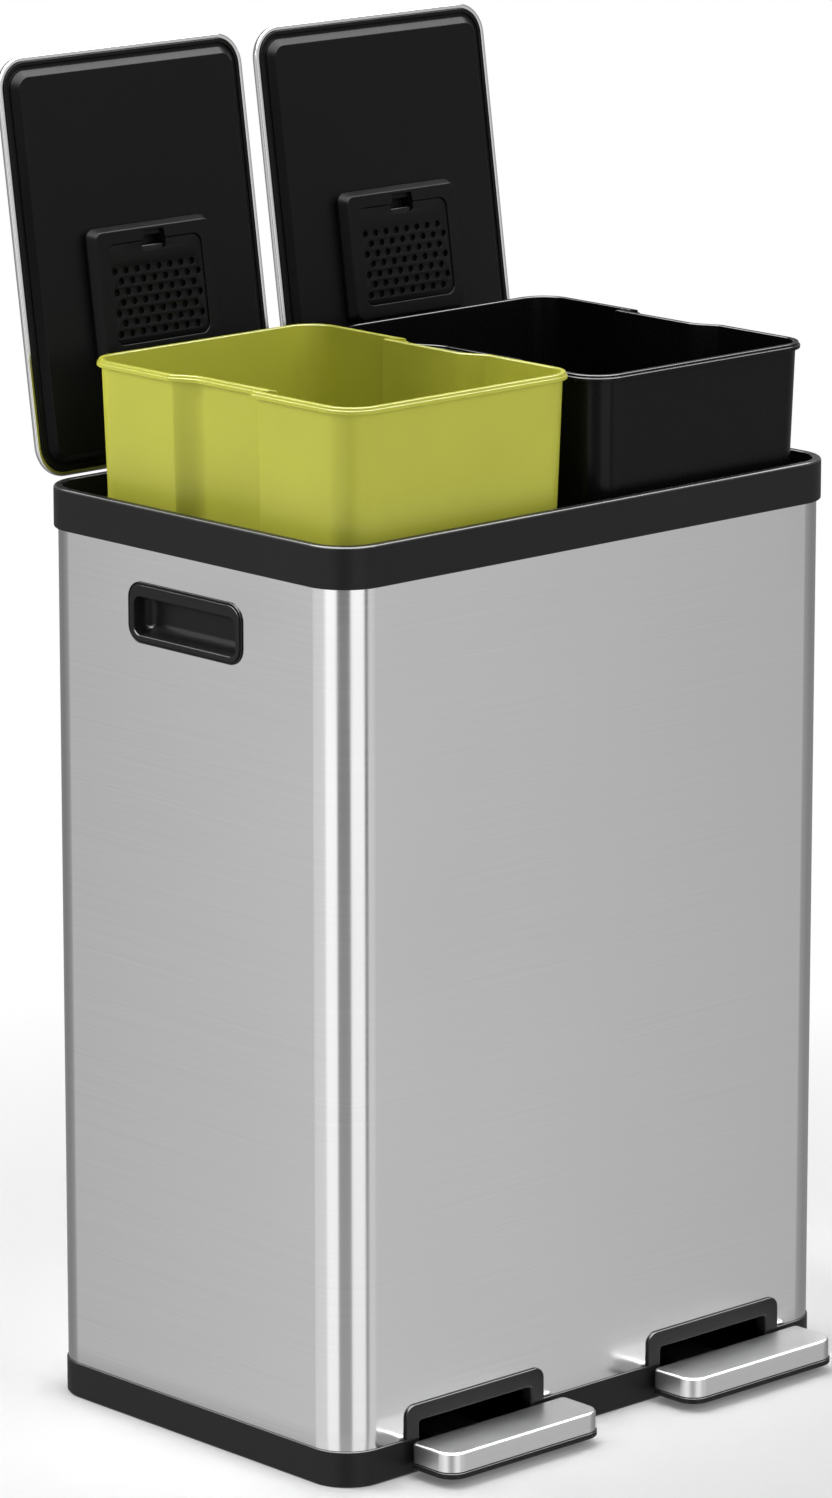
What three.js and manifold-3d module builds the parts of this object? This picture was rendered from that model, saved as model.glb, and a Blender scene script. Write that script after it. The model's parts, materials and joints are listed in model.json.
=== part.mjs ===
// A twin recycling bin: a brushed steel body, two pedal-opened lids and two lift-out buckets.
// Millimetres. +X is to the bin's right, -Y out of its front, +Z up, from the middle of the base's underside.
// It stands with both pedals held down: lids open, and both buckets lifted part of the way out.

import * as THREE from "three";
import { mergeVertices } from "three/addons/utils/BufferGeometryUtils.js";
import Module from "manifold-3d";

const wasm = await Module();
wasm.setup();

// ---------------------------------------------------------------- driving dimensions

const FIT = 0.3; // gap between two pieces that touch
const THROUGH = 2; // how far a cutting tool runs past what it cuts
const CORNER_STEPS = 6; // facets in a quarter turn of a large corner
const SMALL_SIDES = 12; // facets round a small pin or hole

// Body
const BODY_WIDTH = 455;
const BODY_DEPTH = 300;
const BODY_CORNER = 29;
const SHELL_SHEET = 1.2;

// Base tray
const BASE_HEIGHT = 25;
const BASE_PROUD = 1;
const BASE_FLOOR = 3;
const BASE_CHAMFER = 1.5;
const LIP_WALL = 2;
const LIP_HEIGHT = 18;

// Top rim
const RIM_TOP = 636.5;
const RIM_HEIGHT = 28.5;
const RIM_PROUD = 3;
const RIM_WALL = 1.7;
const RIM_CAP = 3;
const RIM_DROP = 36.5;
const RIM_CHAMFER = 1.2;

// Foot pads, let into the underside
const FOOT_RADIUS = 12;
const FOOT_HEIGHT = 1.5;
const FOOT_STEM_RADIUS = 3;
const FOOT_STEM_LENGTH = 4.5;
const FOOT_INSET = 40;

// Bucket shelf, the posts that carry it and its screws
const SHELF_TOP = 81.7;
const SHELF_PLATE = 3;
const SHELF_SKIRT = 10;
const SHELF_SIDE_GAP = 5;
const SHELF_REAR_GAP = 23;
const SHELF_CORNER = 22;
const SHELF_REAR_CORNER = 6;
const POST_SIZE = 14;
const POST_INSET_X = 19;
const POST_INSET_Y = 34;
const SCREW_RADIUS = 1.5;
const SCREW_HEAD_RADIUS = 3.6;
const SCREW_HEAD = 1.6;
const SHELF_SCREW_LENGTH = 14;

// Handle cups in the two sides
const HANDLE_LENGTH = 113;
const HANDLE_HEIGHT = 41.5;
const HANDLE_Y = 3;
const HANDLE_DROP = 72.2; // from the rim's top to the middle of the cup
const HANDLE_CORNER = 12;
const HANDLE_BORDER = 6;
const HANDLE_PROUD = 1.7;
const HANDLE_DEPTH = 15;
const HANDLE_WALL = 1.5;
const HANDLE_LAP = 2.5; // how far the border covers the sheet round its hole

// Mechanism: one line of parts for each lid, from the pedal to the hinge
const LINE_DRAW_IN = 2.5; // the lines stand this much closer together than the lids
const LINE_SHIFT = 3.25; // and this much to the right

// Pedal frames
const FRAME_WIDTH = 127;
const FRAME_TOP = 48;
const FRAME_CORNER = 8;
const FRAME_PLATE = 1.6;
const FRAME_BORDER = 12;
const FRAME_COLLAR = 2;
const FRAME_COLLAR_DEPTH = 7;
const FRAME_LAP = 5; // how far the frame covers the sheet round its notch
const PEDAL_SLOT_BOTTOM = 6;

// Pedals, in the pressed position
const PEDAL_WIDTH = 141;
const PEDAL_REACH = 39;
const PEDAL_STANDOFF = 4.5;
const PEDAL_OFFSET = 8.5;
const PEDAL_TOP = 24;
const PEDAL_CORNER = 13;
const PEDAL_BACK_CORNER = 4;
const CAP_HEIGHT = 13.7;
const CAP_SHEET = 1.2;
const CAP_ROUND = 1.6;
const TREAD_THICKNESS = 4;
const TREAD_UNDERSIDE = 6;
const TREAD_PROUD = 1;
const TREAD_CHAMFER = 0.8;

// Levers under the shelf
const LEVER_WIDTH = 36;
const LEVER_SHEET = 3;
const LEVER_FRONT_Z = 13;
const LEVER_BEND = 25; // from the front face to the bend
const LEVER_TIP_MARGIN = 4;
const LEVER_REAR_RISE = 4; // degrees that the rear arm points up while the pedal is down
const LEVER_TRAVEL = 8; // degrees from pedal down to pedal up
const HUB_RADIUS = 6;
const PIVOT_Z = 26;
const AXLE_RADIUS = 3;
const PILLAR_DEPTH = 16;
const PILLAR_WIDTH = 6;
const PILLAR_RISE = 8;
const PILLAR_GAP = 0.5;

// Lids. Lid sizes are given for a closed lid, with heights above the hinge axis
const LID_GAP = 13;
const LID_SIDE_INSET = 5;
const LID_FRONT_INSET = 7.5;
const LID_CORNER = 22;
const LID_SHEET = 0.8;
const LID_SIDE = 5;
const LID_HEM = 3.2;
const LID_OPEN = 98.4; // degrees
const HINGE_INSET = 5; // from the rear face
const HINGE_DROP = 3.5; // from the rim's top
const LID_TOP = 13.9;
const LID_SETBACK = 5.5; // from the hinge axis to the lid's rear edge
const LINER_WALL = 2.2;
const LINER_BAND = 11;
const LINER_BEVEL = 2.8;
const LINER_STEP = 5;
const LINER_PROUD = 0.6;

// Filter housing on the liner
const HOUSING_WIDTH = 108;
const HOUSING_LENGTH = 92;
const HOUSING_HEIGHT = 10;
const HOUSING_CHAMFER = 3;
const HOUSING_BORDER = 9;
const HOUSING_START = 75.5; // from the hinge axis
const HOUSING_CORNER = 7;
const HOUSING_LEDGE = 3;
const COVER_SHEET = 2;
const COVER_RECESS = 0.9;
const COVER_CORNER = 7;
const NOTCH_WIDTH = 26;
const NOTCH_DEPTH = 8;
const HOLE_RADIUS = 2.35;
const HOLE_SIDES = 6;
const HOLE_PITCH_X = 9.8;
const HOLE_PITCH_Y = 7.1;
const HOLE_COLUMNS = 8;
const HOLE_ROWS = 7;
const FILTER_PAD_THICKNESS = 5;

// Hinges, push rods and dampers
const HINGE_PIN_RADIUS = 1.8;
const KNUCKLE_RADIUS = 3.2;
const ARM_WIDTH = 30;
const ARM_SHEET = 3;
const ARM_LENGTH = 44;
const ARM_NECK = 7; // from the hinge axis to the bend that lifts the strap to the liner
const ARM_BEND = 12;
const ARM_SCREW_LENGTH = 8;
const ARM_SCREW_HEAD = 1.2;
const ARM_SCREW_PLACES = [18, 34];
const CRANK_RADIUS = 13.4;
const CRANK_PIN_RADIUS = 2;
const CRANK_SHEET = 3;
const EAR_SHEET = 3;
const EAR_RADIUS = 4.2;
const EAR_GAP = 0.4;
const BRACKET_SHEET = 1.8;
const BRACKET_BOTTOM = 43; // these three are drops from the hinge axis
const BRACKET_TOP = 7;
const EAR_BOTTOM = 33;
const EAR_DEPTH = 7.5;
const ROD_RADIUS = 3;
const ROD_TIP_RADIUS = 1.5;
const ROD_TIP = 1.5;
const ROD_NECK = 11; // drop from the hinge axis
const EYE_SHEET = 4;
const EYE_WALL = 2.2;
const EYE_PLAY_Y = 0.4;
const EYE_PLAY_Z = 0.85;
const GUIDE_DROP = 333;
const GUIDE_HEIGHT = 12;
const GUIDE_WIDTH = 20;
const GUIDE_FLANGE = 30;
const GUIDE_FLANGE_SHEET = 1.5;
const DAMPER_DROP = 193;
const DAMPER_LENGTH = 60;
const DAMPER_RADIUS = 9;
const DAMPER_WALL = 1.7;
const DAMPER_END = 2.5;
const DAMPER_FOOT_WIDTH = 16;
const DAMPER_FOOT_HEIGHT = 30;
const PISTON_LENGTH = 8;
const PISTON_RISE = 44; // from the damper's bottom

// Buckets
const BUCKET_GAP = 12.4; // between the rim flanges, which the insets are measured to as well
const BUCKET_SIDE_INSET = 13.3;
const BUCKET_FRONT_INSET = 7;
const BUCKET_REAR_INSET = 29;
const BUCKET_HEIGHT = 510;
const BUCKET_CORNER = 24;
const BUCKET_RISES = { left: 87.5, right: 81 }; // of each lifted bucket's top over the bin's rim
const BUCKET_DRAFT = 1.5; // degrees
const BUCKET_WALL = 2.5;
const BUCKET_FOOT_ROUND = 6;
const FLANGE_PROUD = 4;
const FLANGE_STEP = 1.5;
const FLANGE_HEIGHT = 6.5;
const FLANGE_LIP = 3.2;
const FLANGE_ROUND = 0.5;
const RECESS_DEPTH = 9;
const RECESS_CURVE_START = -45;
const RECESS_CURVE_END = -22;
const RECESS_STEP_Y = 43;
const CURVE_STEPS = 6;

// ---------------------------------------------------------------- places worked out from the sizes

const radians = THREE.MathUtils.degToRad;
const SIDES = { left: -1, right: 1 };

const frontFace = -BODY_DEPTH / 2;
const hingeY = BODY_DEPTH / 2 - HINGE_INSET;
const hingeZ = RIM_TOP - HINGE_DROP;
const lidWidth = (BODY_WIDTH - LID_GAP) / 2 - LID_SIDE_INSET;
const lidPitch = lidWidth + LID_GAP;
const lidLength = hingeY - LID_SETBACK - frontFace - LID_FRONT_INSET;
const linePitch = lidPitch - LINE_DRAW_IN;
const bucketWidth = (BODY_WIDTH - BUCKET_GAP) / 2 - BUCKET_SIDE_INSET;
const bucketPitch = bucketWidth + BUCKET_GAP;
const bucketDepth = BODY_DEPTH - BUCKET_FRONT_INSET - BUCKET_REAR_INSET;
const bucketY = (BUCKET_FRONT_INSET - BUCKET_REAR_INSET) / 2;
const shellInnerRear = BODY_DEPTH / 2 - SHELL_SHEET;
const lineX = (side) => (side * linePitch) / 2 + LINE_SHIFT;
const lidX = (side) => (side * lidPitch) / 2;
const bucketX = (side) => (side * bucketPitch) / 2;

// The crank pin rises along a chord that stands upright, half of the lid's swing on each side of level.
const halfSwing = radians(LID_OPEN / 2);
const crankReach = CRANK_RADIUS * Math.cos(halfSwing);
const crankDrop = CRANK_RADIUS * Math.sin(halfSwing);
const rodTravel = 2 * crankDrop;

// The rod stands in the middle of the crank pin's fore-and-aft play.
const eyeFront = hingeY - CRANK_RADIUS - CRANK_PIN_RADIUS - EYE_PLAY_Y;
const eyeRear = hingeY - crankReach + CRANK_PIN_RADIUS + EYE_PLAY_Y;
const rodY = (eyeFront + eyeRear) / 2;
const eyeZ = hingeZ + crankDrop;
const rearArm = rodTravel / Math.sin(radians(LEVER_TRAVEL));
const pivotY = rodY - rearArm;
const rearRise = rearArm * Math.tan(radians(LEVER_REAR_RISE));
const rodNeckZ = hingeZ - ROD_NECK;
const rodBottom = PIVOT_Z + rearRise + LEVER_SHEET / 2 + 1.2 * FIT;

const damperBottom = hingeZ - DAMPER_DROP;
const pistonZ = damperBottom + PISTON_RISE;

const pedalBack = frontFace - PEDAL_STANDOFF;
const pedalY = pedalBack - PEDAL_REACH / 2;
const openingWidth = FRAME_WIDTH - 2 * FRAME_BORDER;
const openingTop = FRAME_TOP - FRAME_BORDER;

const housingY = -(HOUSING_START + HOUSING_LENGTH / 2);
const panelFace = LID_TOP - LID_SIDE - LINER_STEP;
const housingFace = panelFace - FIT - HOUSING_HEIGHT;
const windowWidth = HOUSING_WIDTH - 2 * (HOUSING_BORDER + HOUSING_CHAMFER);
const windowLength = HOUSING_LENGTH - 2 * (HOUSING_BORDER + HOUSING_CHAMFER);
const coverFace = housingFace + COVER_RECESS;
const ledgeZ = coverFace + COVER_SHEET + FIT;

// ---------------------------------------------------------------- materials

function finish(color, roughness, metalness) {
  return () => new THREE.MeshStandardMaterial({ color, roughness, metalness });
}

const brushedSteel = finish(0xb4b5b7, 0.34, 1);
const plainSteel = finish(0x9a9c9f, 0.45, 1);
const blackPlastic = finish(0x242425, 0.5, 0);
const linerPlastic = finish(0x1c1c1d, 0.55, 0);
const greenPlastic = finish(0xb9ba55, 0.45, 0);
const bucketBlack = finish(0x1f1f20, 0.42, 0);
const filterFelt = finish(0x151515, 0.95, 0);
const rubber = finish(0x181818, 0.9, 0);

// ---------------------------------------------------------------- shape helpers

// Points round an arc, from one angle to another in degrees.
function arc(x, y, radius, start, end, steps) {
  return Array.from({ length: steps + 1 }, (_, i) => {
    const angle = radians(start + ((end - start) * i) / steps);
    return new THREE.Vector2(x + radius * Math.cos(angle), y + radius * Math.sin(angle));
  });
}

// An anticlockwise rectangle with round corners, centred on the origin.
function roundedRect(width, depth, radius, backRadius = radius, steps = CORNER_STEPS) {
  const corners = [
    [1, -1, -90, radius],
    [1, 1, 0, backRadius],
    [-1, 1, 90, backRadius],
    [-1, -1, 180, radius],
  ];
  return corners.flatMap(([sideX, sideY, start, r]) =>
    arc(sideX * (width / 2 - r), sideY * (depth / 2 - r), r, start, start + 90, steps),
  );
}

// A closed surface through rings of equally many points, each [outline, height]. The first and last rings
// are filled, or joined to each other where the section goes all the way round.
function loft(rings, ringShaped = false) {
  const count = rings[0][0].length;
  const positions = rings.flatMap(([outline, height]) => outline.flatMap((p) => [p.x, p.y, height]));
  const index = [];
  const joins = ringShaped ? rings.length : rings.length - 1;
  for (let ring = 0; ring < joins; ring++) {
    const from = ring * count;
    const to = ((ring + 1) % rings.length) * count;
    for (let i = 0; i < count; i++) {
      const next = (i + 1) % count;
      index.push(from + i, from + next, to + next, from + i, to + next, to + i);
    }
  }
  if (!ringShaped) {
    const last = (rings.length - 1) * count;
    for (const [a, b, c] of THREE.ShapeUtils.triangulateShape([...rings[0][0]], [])) {
      index.push(c, b, a);
    }
    for (const [a, b, c] of THREE.ShapeUtils.triangulateShape([...rings.at(-1)[0]], [])) {
      index.push(last + a, last + b, last + c);
    }
  }
  const geometry = new THREE.BufferGeometry();
  geometry.setAttribute("position", new THREE.Float32BufferAttribute(positions, 3));
  geometry.setIndex(index);
  return solid(geometry);
}

// Makes a solid of a closed geometry, so that it can be cut and joined.
function solid(geometry) {
  const bare = new THREE.BufferGeometry();
  bare.setAttribute("position", geometry.getAttribute("position"));
  bare.setIndex(geometry.getIndex());
  const merged = mergeVertices(bare, 1e-4);
  const vertProperties = merged.getAttribute("position").array;
  const triVerts = new Uint32Array(merged.getIndex().array);
  return new wasm.Manifold(new wasm.Mesh({ numProp: 3, vertProperties, triVerts }));
}

// A box between two corners.
function box([x0, y0, z0], [x1, y1, z1]) {
  const geometry = new THREE.BoxGeometry(x1 - x0, y1 - y0, z1 - z0);
  return solid(geometry.translate((x0 + x1) / 2, (y0 + y1) / 2, (z0 + z1) / 2));
}

// A round bar between two points; the second radius makes it a cone.
function bar(from, to, radius, sides = SMALL_SIDES, endRadius = radius) {
  const start = new THREE.Vector3(...from);
  const way = new THREE.Vector3(...to).sub(start);
  const geometry = new THREE.CylinderGeometry(endRadius, radius, way.length(), sides);
  geometry.rotateY(Math.PI / sides);
  geometry.translate(0, way.length() / 2, 0);
  const turn = new THREE.Quaternion().setFromUnitVectors(new THREE.Vector3(0, 1, 0), way.normalize());
  geometry.applyQuaternion(turn);
  return solid(geometry.translate(start.x, start.y, start.z));
}

// A round bar along X.
function crossBar(x0, x1, y, z, radius, sides) {
  return bar([x0, y, z], [x1, y, z], radius, sides);
}

// A flat outline pushed up from z0 to z1.
function plate(points, z0, z1, holes = []) {
  const shape = new THREE.Shape(points);
  shape.holes = holes.map((hole) => new THREE.Path(hole));
  const geometry = new THREE.ExtrudeGeometry(shape, { depth: z1 - z0, bevelEnabled: false });
  return solid(geometry.translate(0, 0, z0));
}

// A side-on outline of [y, z] points, pushed along X from x0 to x1.
function sidePlate(points, x0, x1, holes = []) {
  return plate(points, x0, x1, holes).transform(columns([0, 1, 0], [0, 0, 1], [1, 0, 0]));
}

// A front-on outline of [x, z] points, pushed forwards from the first y to the second.
function frontPlate(points, yBack, yFront) {
  return plate(points, -yBack, -yFront).transform(columns([1, 0, 0], [0, 0, 1], [0, -1, 0]));
}

// The 4x4 matrix, column by column, that turns X, Y and Z into three given directions.
function columns(x, y, z) {
  return [...x, 0, ...y, 0, ...z, 0, 0, 0, 0, 1];
}

// The outline of a bent strip of even thickness along a centre line.
function strip(line, thickness) {
  const along = (a, b) => b.clone().sub(a).normalize();
  const normal = (way) => new THREE.Vector2(-way.y, way.x);
  const offsets = line.map((point, i) => {
    const before = along(line[Math.max(i - 1, 0)], line[Math.max(i, 1)]);
    const after = along(line[Math.min(i, line.length - 2)], line[Math.min(i + 1, line.length - 1)]);
    const mitre = normal(before).add(normal(after)).normalize();
    return mitre.multiplyScalar(thickness / 2 / mitre.dot(normal(after)));
  });
  const upper = line.map((point, i) => point.clone().add(offsets[i]));
  const lower = line.map((point, i) => point.clone().sub(offsets[i]));
  return [...lower, ...upper.reverse()];
}

const points = (pairs) => pairs.map(([x, y]) => new THREE.Vector2(x, y));

// The outline round two circles of one radius, a straight-sided slot shape.
function slotOutline(a, b, radius, steps = CORNER_STEPS) {
  const heading = THREE.MathUtils.radToDeg(Math.atan2(b[1] - a[1], b[0] - a[0]));
  return [
    ...arc(b[0], b[1], radius, heading - 90, heading + 90, steps),
    ...arc(a[0], a[1], radius, heading + 90, heading + 270, steps),
  ];
}

function mesh(name, body, material) {
  const data = body.getMesh();
  const geometry = new THREE.BufferGeometry();
  geometry.setAttribute("position", new THREE.BufferAttribute(data.vertProperties, 3));
  geometry.setIndex(new THREE.BufferAttribute(data.triVerts, 1));
  geometry.computeVertexNormals();
  const piece = new THREE.Mesh(geometry, material());
  piece.name = name;
  return piece;
}

// ---------------------------------------------------------------- body

// The body's outline, grown outwards by an offset.
function bodyOutline(offset) {
  return roundedRect(BODY_WIDTH + 2 * offset, BODY_DEPTH + 2 * offset, BODY_CORNER + offset);
}

function bodyShell() {
  const bottom = BASE_HEIGHT + FIT;
  const top = RIM_TOP - RIM_CAP - FIT;
  let shell = loft(
    [
      [bodyOutline(0), bottom],
      [bodyOutline(0), top],
      [bodyOutline(-SHELL_SHEET), top],
      [bodyOutline(-SHELL_SHEET), bottom],
    ],
    true,
  );
  for (const side of Object.values(SIDES)) {
    shell = shell.subtract(handleHole(side)).subtract(pedalFrameHole(side));
  }
  return shell;
}

function handleHole(side) {
  const inset = Math.min(HANDLE_LAP, HANDLE_BORDER - HANDLE_WALL - FIT);
  const hole = plate(handleOutline(inset), -THROUGH - SHELL_SHEET, THROUGH);
  return hole.transform(sideFrame(side));
}

function pedalFrameHole(side) {
  const inset = Math.min(FRAME_LAP, FRAME_BORDER - FRAME_COLLAR - FIT);
  const half = FRAME_WIDTH / 2 - inset;
  const top = FRAME_TOP - inset;
  return box([lineX(side) - half, frontFace - THROUGH, 0], [lineX(side) + half, frontFace + THROUGH, top]);
}

function topRim() {
  const bottom = RIM_TOP - RIM_HEIGHT;
  const pocket = RIM_TOP - RIM_CAP;
  const inner = -SHELL_SHEET - FIT;
  let rim = loft(
    [
      [bodyOutline(RIM_PROUD - RIM_CHAMFER), bottom],
      [bodyOutline(RIM_PROUD), bottom + RIM_CHAMFER],
      [bodyOutline(RIM_PROUD), RIM_TOP - RIM_CHAMFER],
      [bodyOutline(RIM_PROUD - RIM_CHAMFER), RIM_TOP],
      [bodyOutline(inner - RIM_WALL + RIM_CHAMFER / 2), RIM_TOP],
      [bodyOutline(inner - RIM_WALL), RIM_TOP - RIM_CHAMFER / 2],
      [bodyOutline(inner - RIM_WALL), RIM_TOP - RIM_DROP],
      [bodyOutline(inner), RIM_TOP - RIM_DROP],
      [bodyOutline(inner), pocket],
      [bodyOutline(FIT), pocket],
      [bodyOutline(FIT), bottom],
    ],
    true,
  );
  for (const side of Object.values(SIDES)) {
    rim = rim.subtract(hingeNotch(side));
  }
  return rim;
}

// Room for the hinge bracket and the lid's knuckle inside the rear of the rim.
function hingeNotch(side) {
  const half = ARM_WIDTH / 2 + EAR_GAP + EAR_SHEET + 2 * FIT;
  const depth = 2 * RIM_WALL + RIM_PROUD;
  return box(
    [lineX(side) - half, shellInnerRear - depth, RIM_TOP - RIM_DROP - THROUGH],
    [lineX(side) + half, shellInnerRear, RIM_TOP + THROUGH],
  );
}

// ---------------------------------------------------------------- base

const postPlaces = () => {
  const x = BODY_WIDTH / 2 - POST_INSET_X;
  const y = BODY_DEPTH / 2 - POST_INSET_Y;
  return { front_left: [-x, -y], front_right: [x, -y], rear_left: [-x, y], rear_right: [x, y] };
};

const footPlaces = () => {
  const x = BODY_WIDTH / 2 - FOOT_INSET;
  const y = BODY_DEPTH / 2 - FOOT_INSET;
  return { front_left: [-x, -y], front_right: [x, -y], rear_left: [-x, y], rear_right: [x, y] };
};

function baseTray() {
  const lipOuter = -SHELL_SHEET - FIT;
  const lipInner = lipOuter - LIP_WALL;
  const lipTop = BASE_HEIGHT + LIP_HEIGHT;
  let tray = loft([
    [bodyOutline(BASE_PROUD - BASE_CHAMFER), 0],
    [bodyOutline(BASE_PROUD), BASE_CHAMFER],
    [bodyOutline(BASE_PROUD), BASE_HEIGHT],
    [bodyOutline(lipOuter), BASE_HEIGHT],
    [bodyOutline(lipOuter), lipTop],
    [bodyOutline(lipInner), lipTop],
    [bodyOutline(lipInner), BASE_FLOOR],
  ]);
  const postTop = SHELF_TOP - SHELF_PLATE - FIT;
  const half = POST_SIZE / 2;
  for (const [x, y] of [...Object.values(postPlaces()), ...middlePosts()]) {
    tray = tray.add(box([x - half, y - half, BASE_FLOOR / 2], [x + half, y + half, postTop]));
  }
  for (const [x, y] of Object.values(postPlaces())) {
    const depth = postTop - SHELF_SCREW_LENGTH;
    tray = tray.subtract(bar([x, y, depth], [x, y, postTop + THROUGH], SCREW_RADIUS + FIT));
  }
  for (const [x, y] of Object.values(footPlaces())) {
    const pocket = bar([x, y, -THROUGH], [x, y, FOOT_HEIGHT + FIT], FOOT_RADIUS + FIT, 2 * SMALL_SIDES);
    const hole = bar([x, y, -THROUGH], [x, y, BASE_FLOOR + THROUGH], FOOT_STEM_RADIUS + FIT);
    tray = tray.subtract(pocket).subtract(hole);
  }
  for (const side of Object.values(SIDES)) {
    tray = tray.add(axlePillars(side)).subtract(pedalSlot(side));
  }
  return tray;
}

function middlePosts() {
  const y = BODY_DEPTH / 2 - POST_INSET_Y;
  return [
    [LINE_SHIFT, -y],
    [LINE_SHIFT, y],
  ];
}

// Two uprights that hold a pedal axle, one on each side of its lever.
function axlePillars(side) {
  const inner = LEVER_WIDTH / 2 + PILLAR_GAP;
  const outer = inner + PILLAR_WIDTH;
  const half = PILLAR_DEPTH / 2;
  const top = PIVOT_Z + PILLAR_RISE;
  const x = lineX(side);
  const pair = [
    [x - outer, x - inner],
    [x + inner, x + outer],
  ];
  const [left, right] = pair.map(([x0, x1]) =>
    box([x0, pivotY - half, BASE_FLOOR / 2], [x1, pivotY + half, top]),
  );
  const hole = crossBar(x - outer - THROUGH, x + outer + THROUGH, pivotY, PIVOT_Z, AXLE_RADIUS + FIT);
  return left.add(right).subtract(hole);
}

// The way out for a lever through the band, and for the frame's collar through the lip.
function pedalSlot(side) {
  const x = lineX(side);
  const half = openingWidth / 2;
  const collarHalf = half + FRAME_COLLAR + FIT;
  const inside = frontFace + FRAME_COLLAR_DEPTH;
  const lipTop = BASE_HEIGHT + LIP_HEIGHT + THROUGH;
  const outside = frontFace - THROUGH;
  const slot = box([x - half, outside, PEDAL_SLOT_BOTTOM], [x + half, inside, lipTop]);
  const collarRoom = box([x - collarHalf, outside, BASE_HEIGHT], [x + collarHalf, inside, lipTop]);
  return slot.add(collarRoom);
}

function footPad([x, y]) {
  const disc = bar([x, y, 0], [x, y, FOOT_HEIGHT], FOOT_RADIUS, 2 * SMALL_SIDES);
  return disc.add(bar([x, y, FOOT_HEIGHT / 2], [x, y, FOOT_STEM_LENGTH], FOOT_STEM_RADIUS));
}

// ---------------------------------------------------------------- bucket shelf

function shelfOutline(inset) {
  const width = BODY_WIDTH - 2 * (SHELL_SHEET + SHELF_SIDE_GAP + inset);
  const depth = BODY_DEPTH - 2 * SHELL_SHEET - SHELF_SIDE_GAP - SHELF_REAR_GAP - 2 * inset;
  const shift = (SHELF_SIDE_GAP - SHELF_REAR_GAP) / 2;
  const outline = roundedRect(width, depth, SHELF_CORNER - inset, SHELF_REAR_CORNER - inset);
  return outline.map((p) => p.setY(p.y + shift));
}

function bucketShelf() {
  const underside = SHELF_TOP - SHELF_PLATE;
  let shelf = loft([
    [shelfOutline(LIP_WALL), underside],
    [shelfOutline(LIP_WALL), underside - SHELF_SKIRT],
    [shelfOutline(0), underside - SHELF_SKIRT],
    [shelfOutline(0), SHELF_TOP],
  ]);
  for (const [x, y] of Object.values(postPlaces())) {
    shelf = shelf.subtract(bar([x, y, underside - THROUGH], [x, y, SHELF_TOP + THROUGH], SCREW_RADIUS + FIT));
  }
  return shelf;
}

function shelfScrew([x, y]) {
  const seat = SHELF_TOP + FIT;
  const head = bar([x, y, seat], [x, y, seat + SCREW_HEAD], SCREW_HEAD_RADIUS);
  return head.add(bar([x, y, SHELF_TOP - SHELF_SCREW_LENGTH], [x, y, seat + SCREW_HEAD / 2], SCREW_RADIUS));
}

// ---------------------------------------------------------------- handle cups

// Turns a shape drawn flat, with its outer face up, onto the left or right side of the body.
function sideFrame(side) {
  const face = columns([0, side, 0], [0, 0, 1], [side, 0, 0]);
  face[12] = (side * BODY_WIDTH) / 2;
  face[13] = HANDLE_Y;
  face[14] = RIM_TOP - HANDLE_DROP;
  return face;
}

function handleOutline(inset) {
  const corner = Math.max(HANDLE_CORNER - inset, 2);
  return roundedRect(HANDLE_LENGTH - 2 * inset, HANDLE_HEIGHT - 2 * inset, corner);
}

function handleCup(side) {
  const boxInset = HANDLE_BORDER - HANDLE_WALL;
  const chamfer = HANDLE_PROUD / 3;
  const cup = loft([
    [handleOutline(boxInset), -HANDLE_DEPTH],
    [handleOutline(boxInset), FIT],
    [handleOutline(0), FIT],
    [handleOutline(0), HANDLE_PROUD - chamfer],
    [handleOutline(chamfer), HANDLE_PROUD],
    [handleOutline(HANDLE_BORDER - chamfer), HANDLE_PROUD],
    [handleOutline(HANDLE_BORDER), HANDLE_PROUD - chamfer],
    [handleOutline(HANDLE_BORDER), HANDLE_WALL - HANDLE_DEPTH],
  ]);
  return cup.transform(sideFrame(side));
}

// ---------------------------------------------------------------- pedals

// A doorway outline, open at the bottom, seen from the front.
function archOutline(side, width, top, bottom, legs, corner) {
  const half = width / 2;
  const outer = [
    new THREE.Vector2(half, bottom),
    ...arc(half - corner, top - corner, corner, 0, 90, CORNER_STEPS),
    ...arc(corner - half, top - corner, corner, 90, 180, CORNER_STEPS),
    new THREE.Vector2(-half, bottom),
  ];
  const inner = points([
    [legs - half, bottom],
    [legs - half, top - legs],
    [half - legs, top - legs],
    [half - legs, bottom],
  ]);
  return [...outer, ...inner].map((p) => p.setX(p.x + lineX(side)));
}

function pedalFrame(side) {
  const bottom = BASE_HEIGHT + FIT;
  const back = frontFace - FIT;
  const front = back - FRAME_PLATE;
  const face = archOutline(side, FRAME_WIDTH, FRAME_TOP, bottom, FRAME_BORDER, FRAME_CORNER);
  const collarWidth = openingWidth + 2 * FRAME_COLLAR;
  const collarTop = openingTop + FRAME_COLLAR;
  const collar = archOutline(side, collarWidth, collarTop, bottom, FRAME_COLLAR, FRAME_COLLAR / 2);
  const inside = frontFace + FRAME_COLLAR_DEPTH;
  return frontPlate(face, back, front).add(frontPlate(collar, inside, front + FRAME_PLATE / 2));
}

function pedalOutline(side, inset) {
  const width = PEDAL_WIDTH - 2 * inset;
  const reach = PEDAL_REACH - 2 * inset;
  const outline = roundedRect(width, reach, PEDAL_CORNER - inset, Math.max(PEDAL_BACK_CORNER - inset, 1));
  return outline.map((p) => p.set(p.x + lineX(side) + PEDAL_OFFSET, p.y + pedalY));
}

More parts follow.
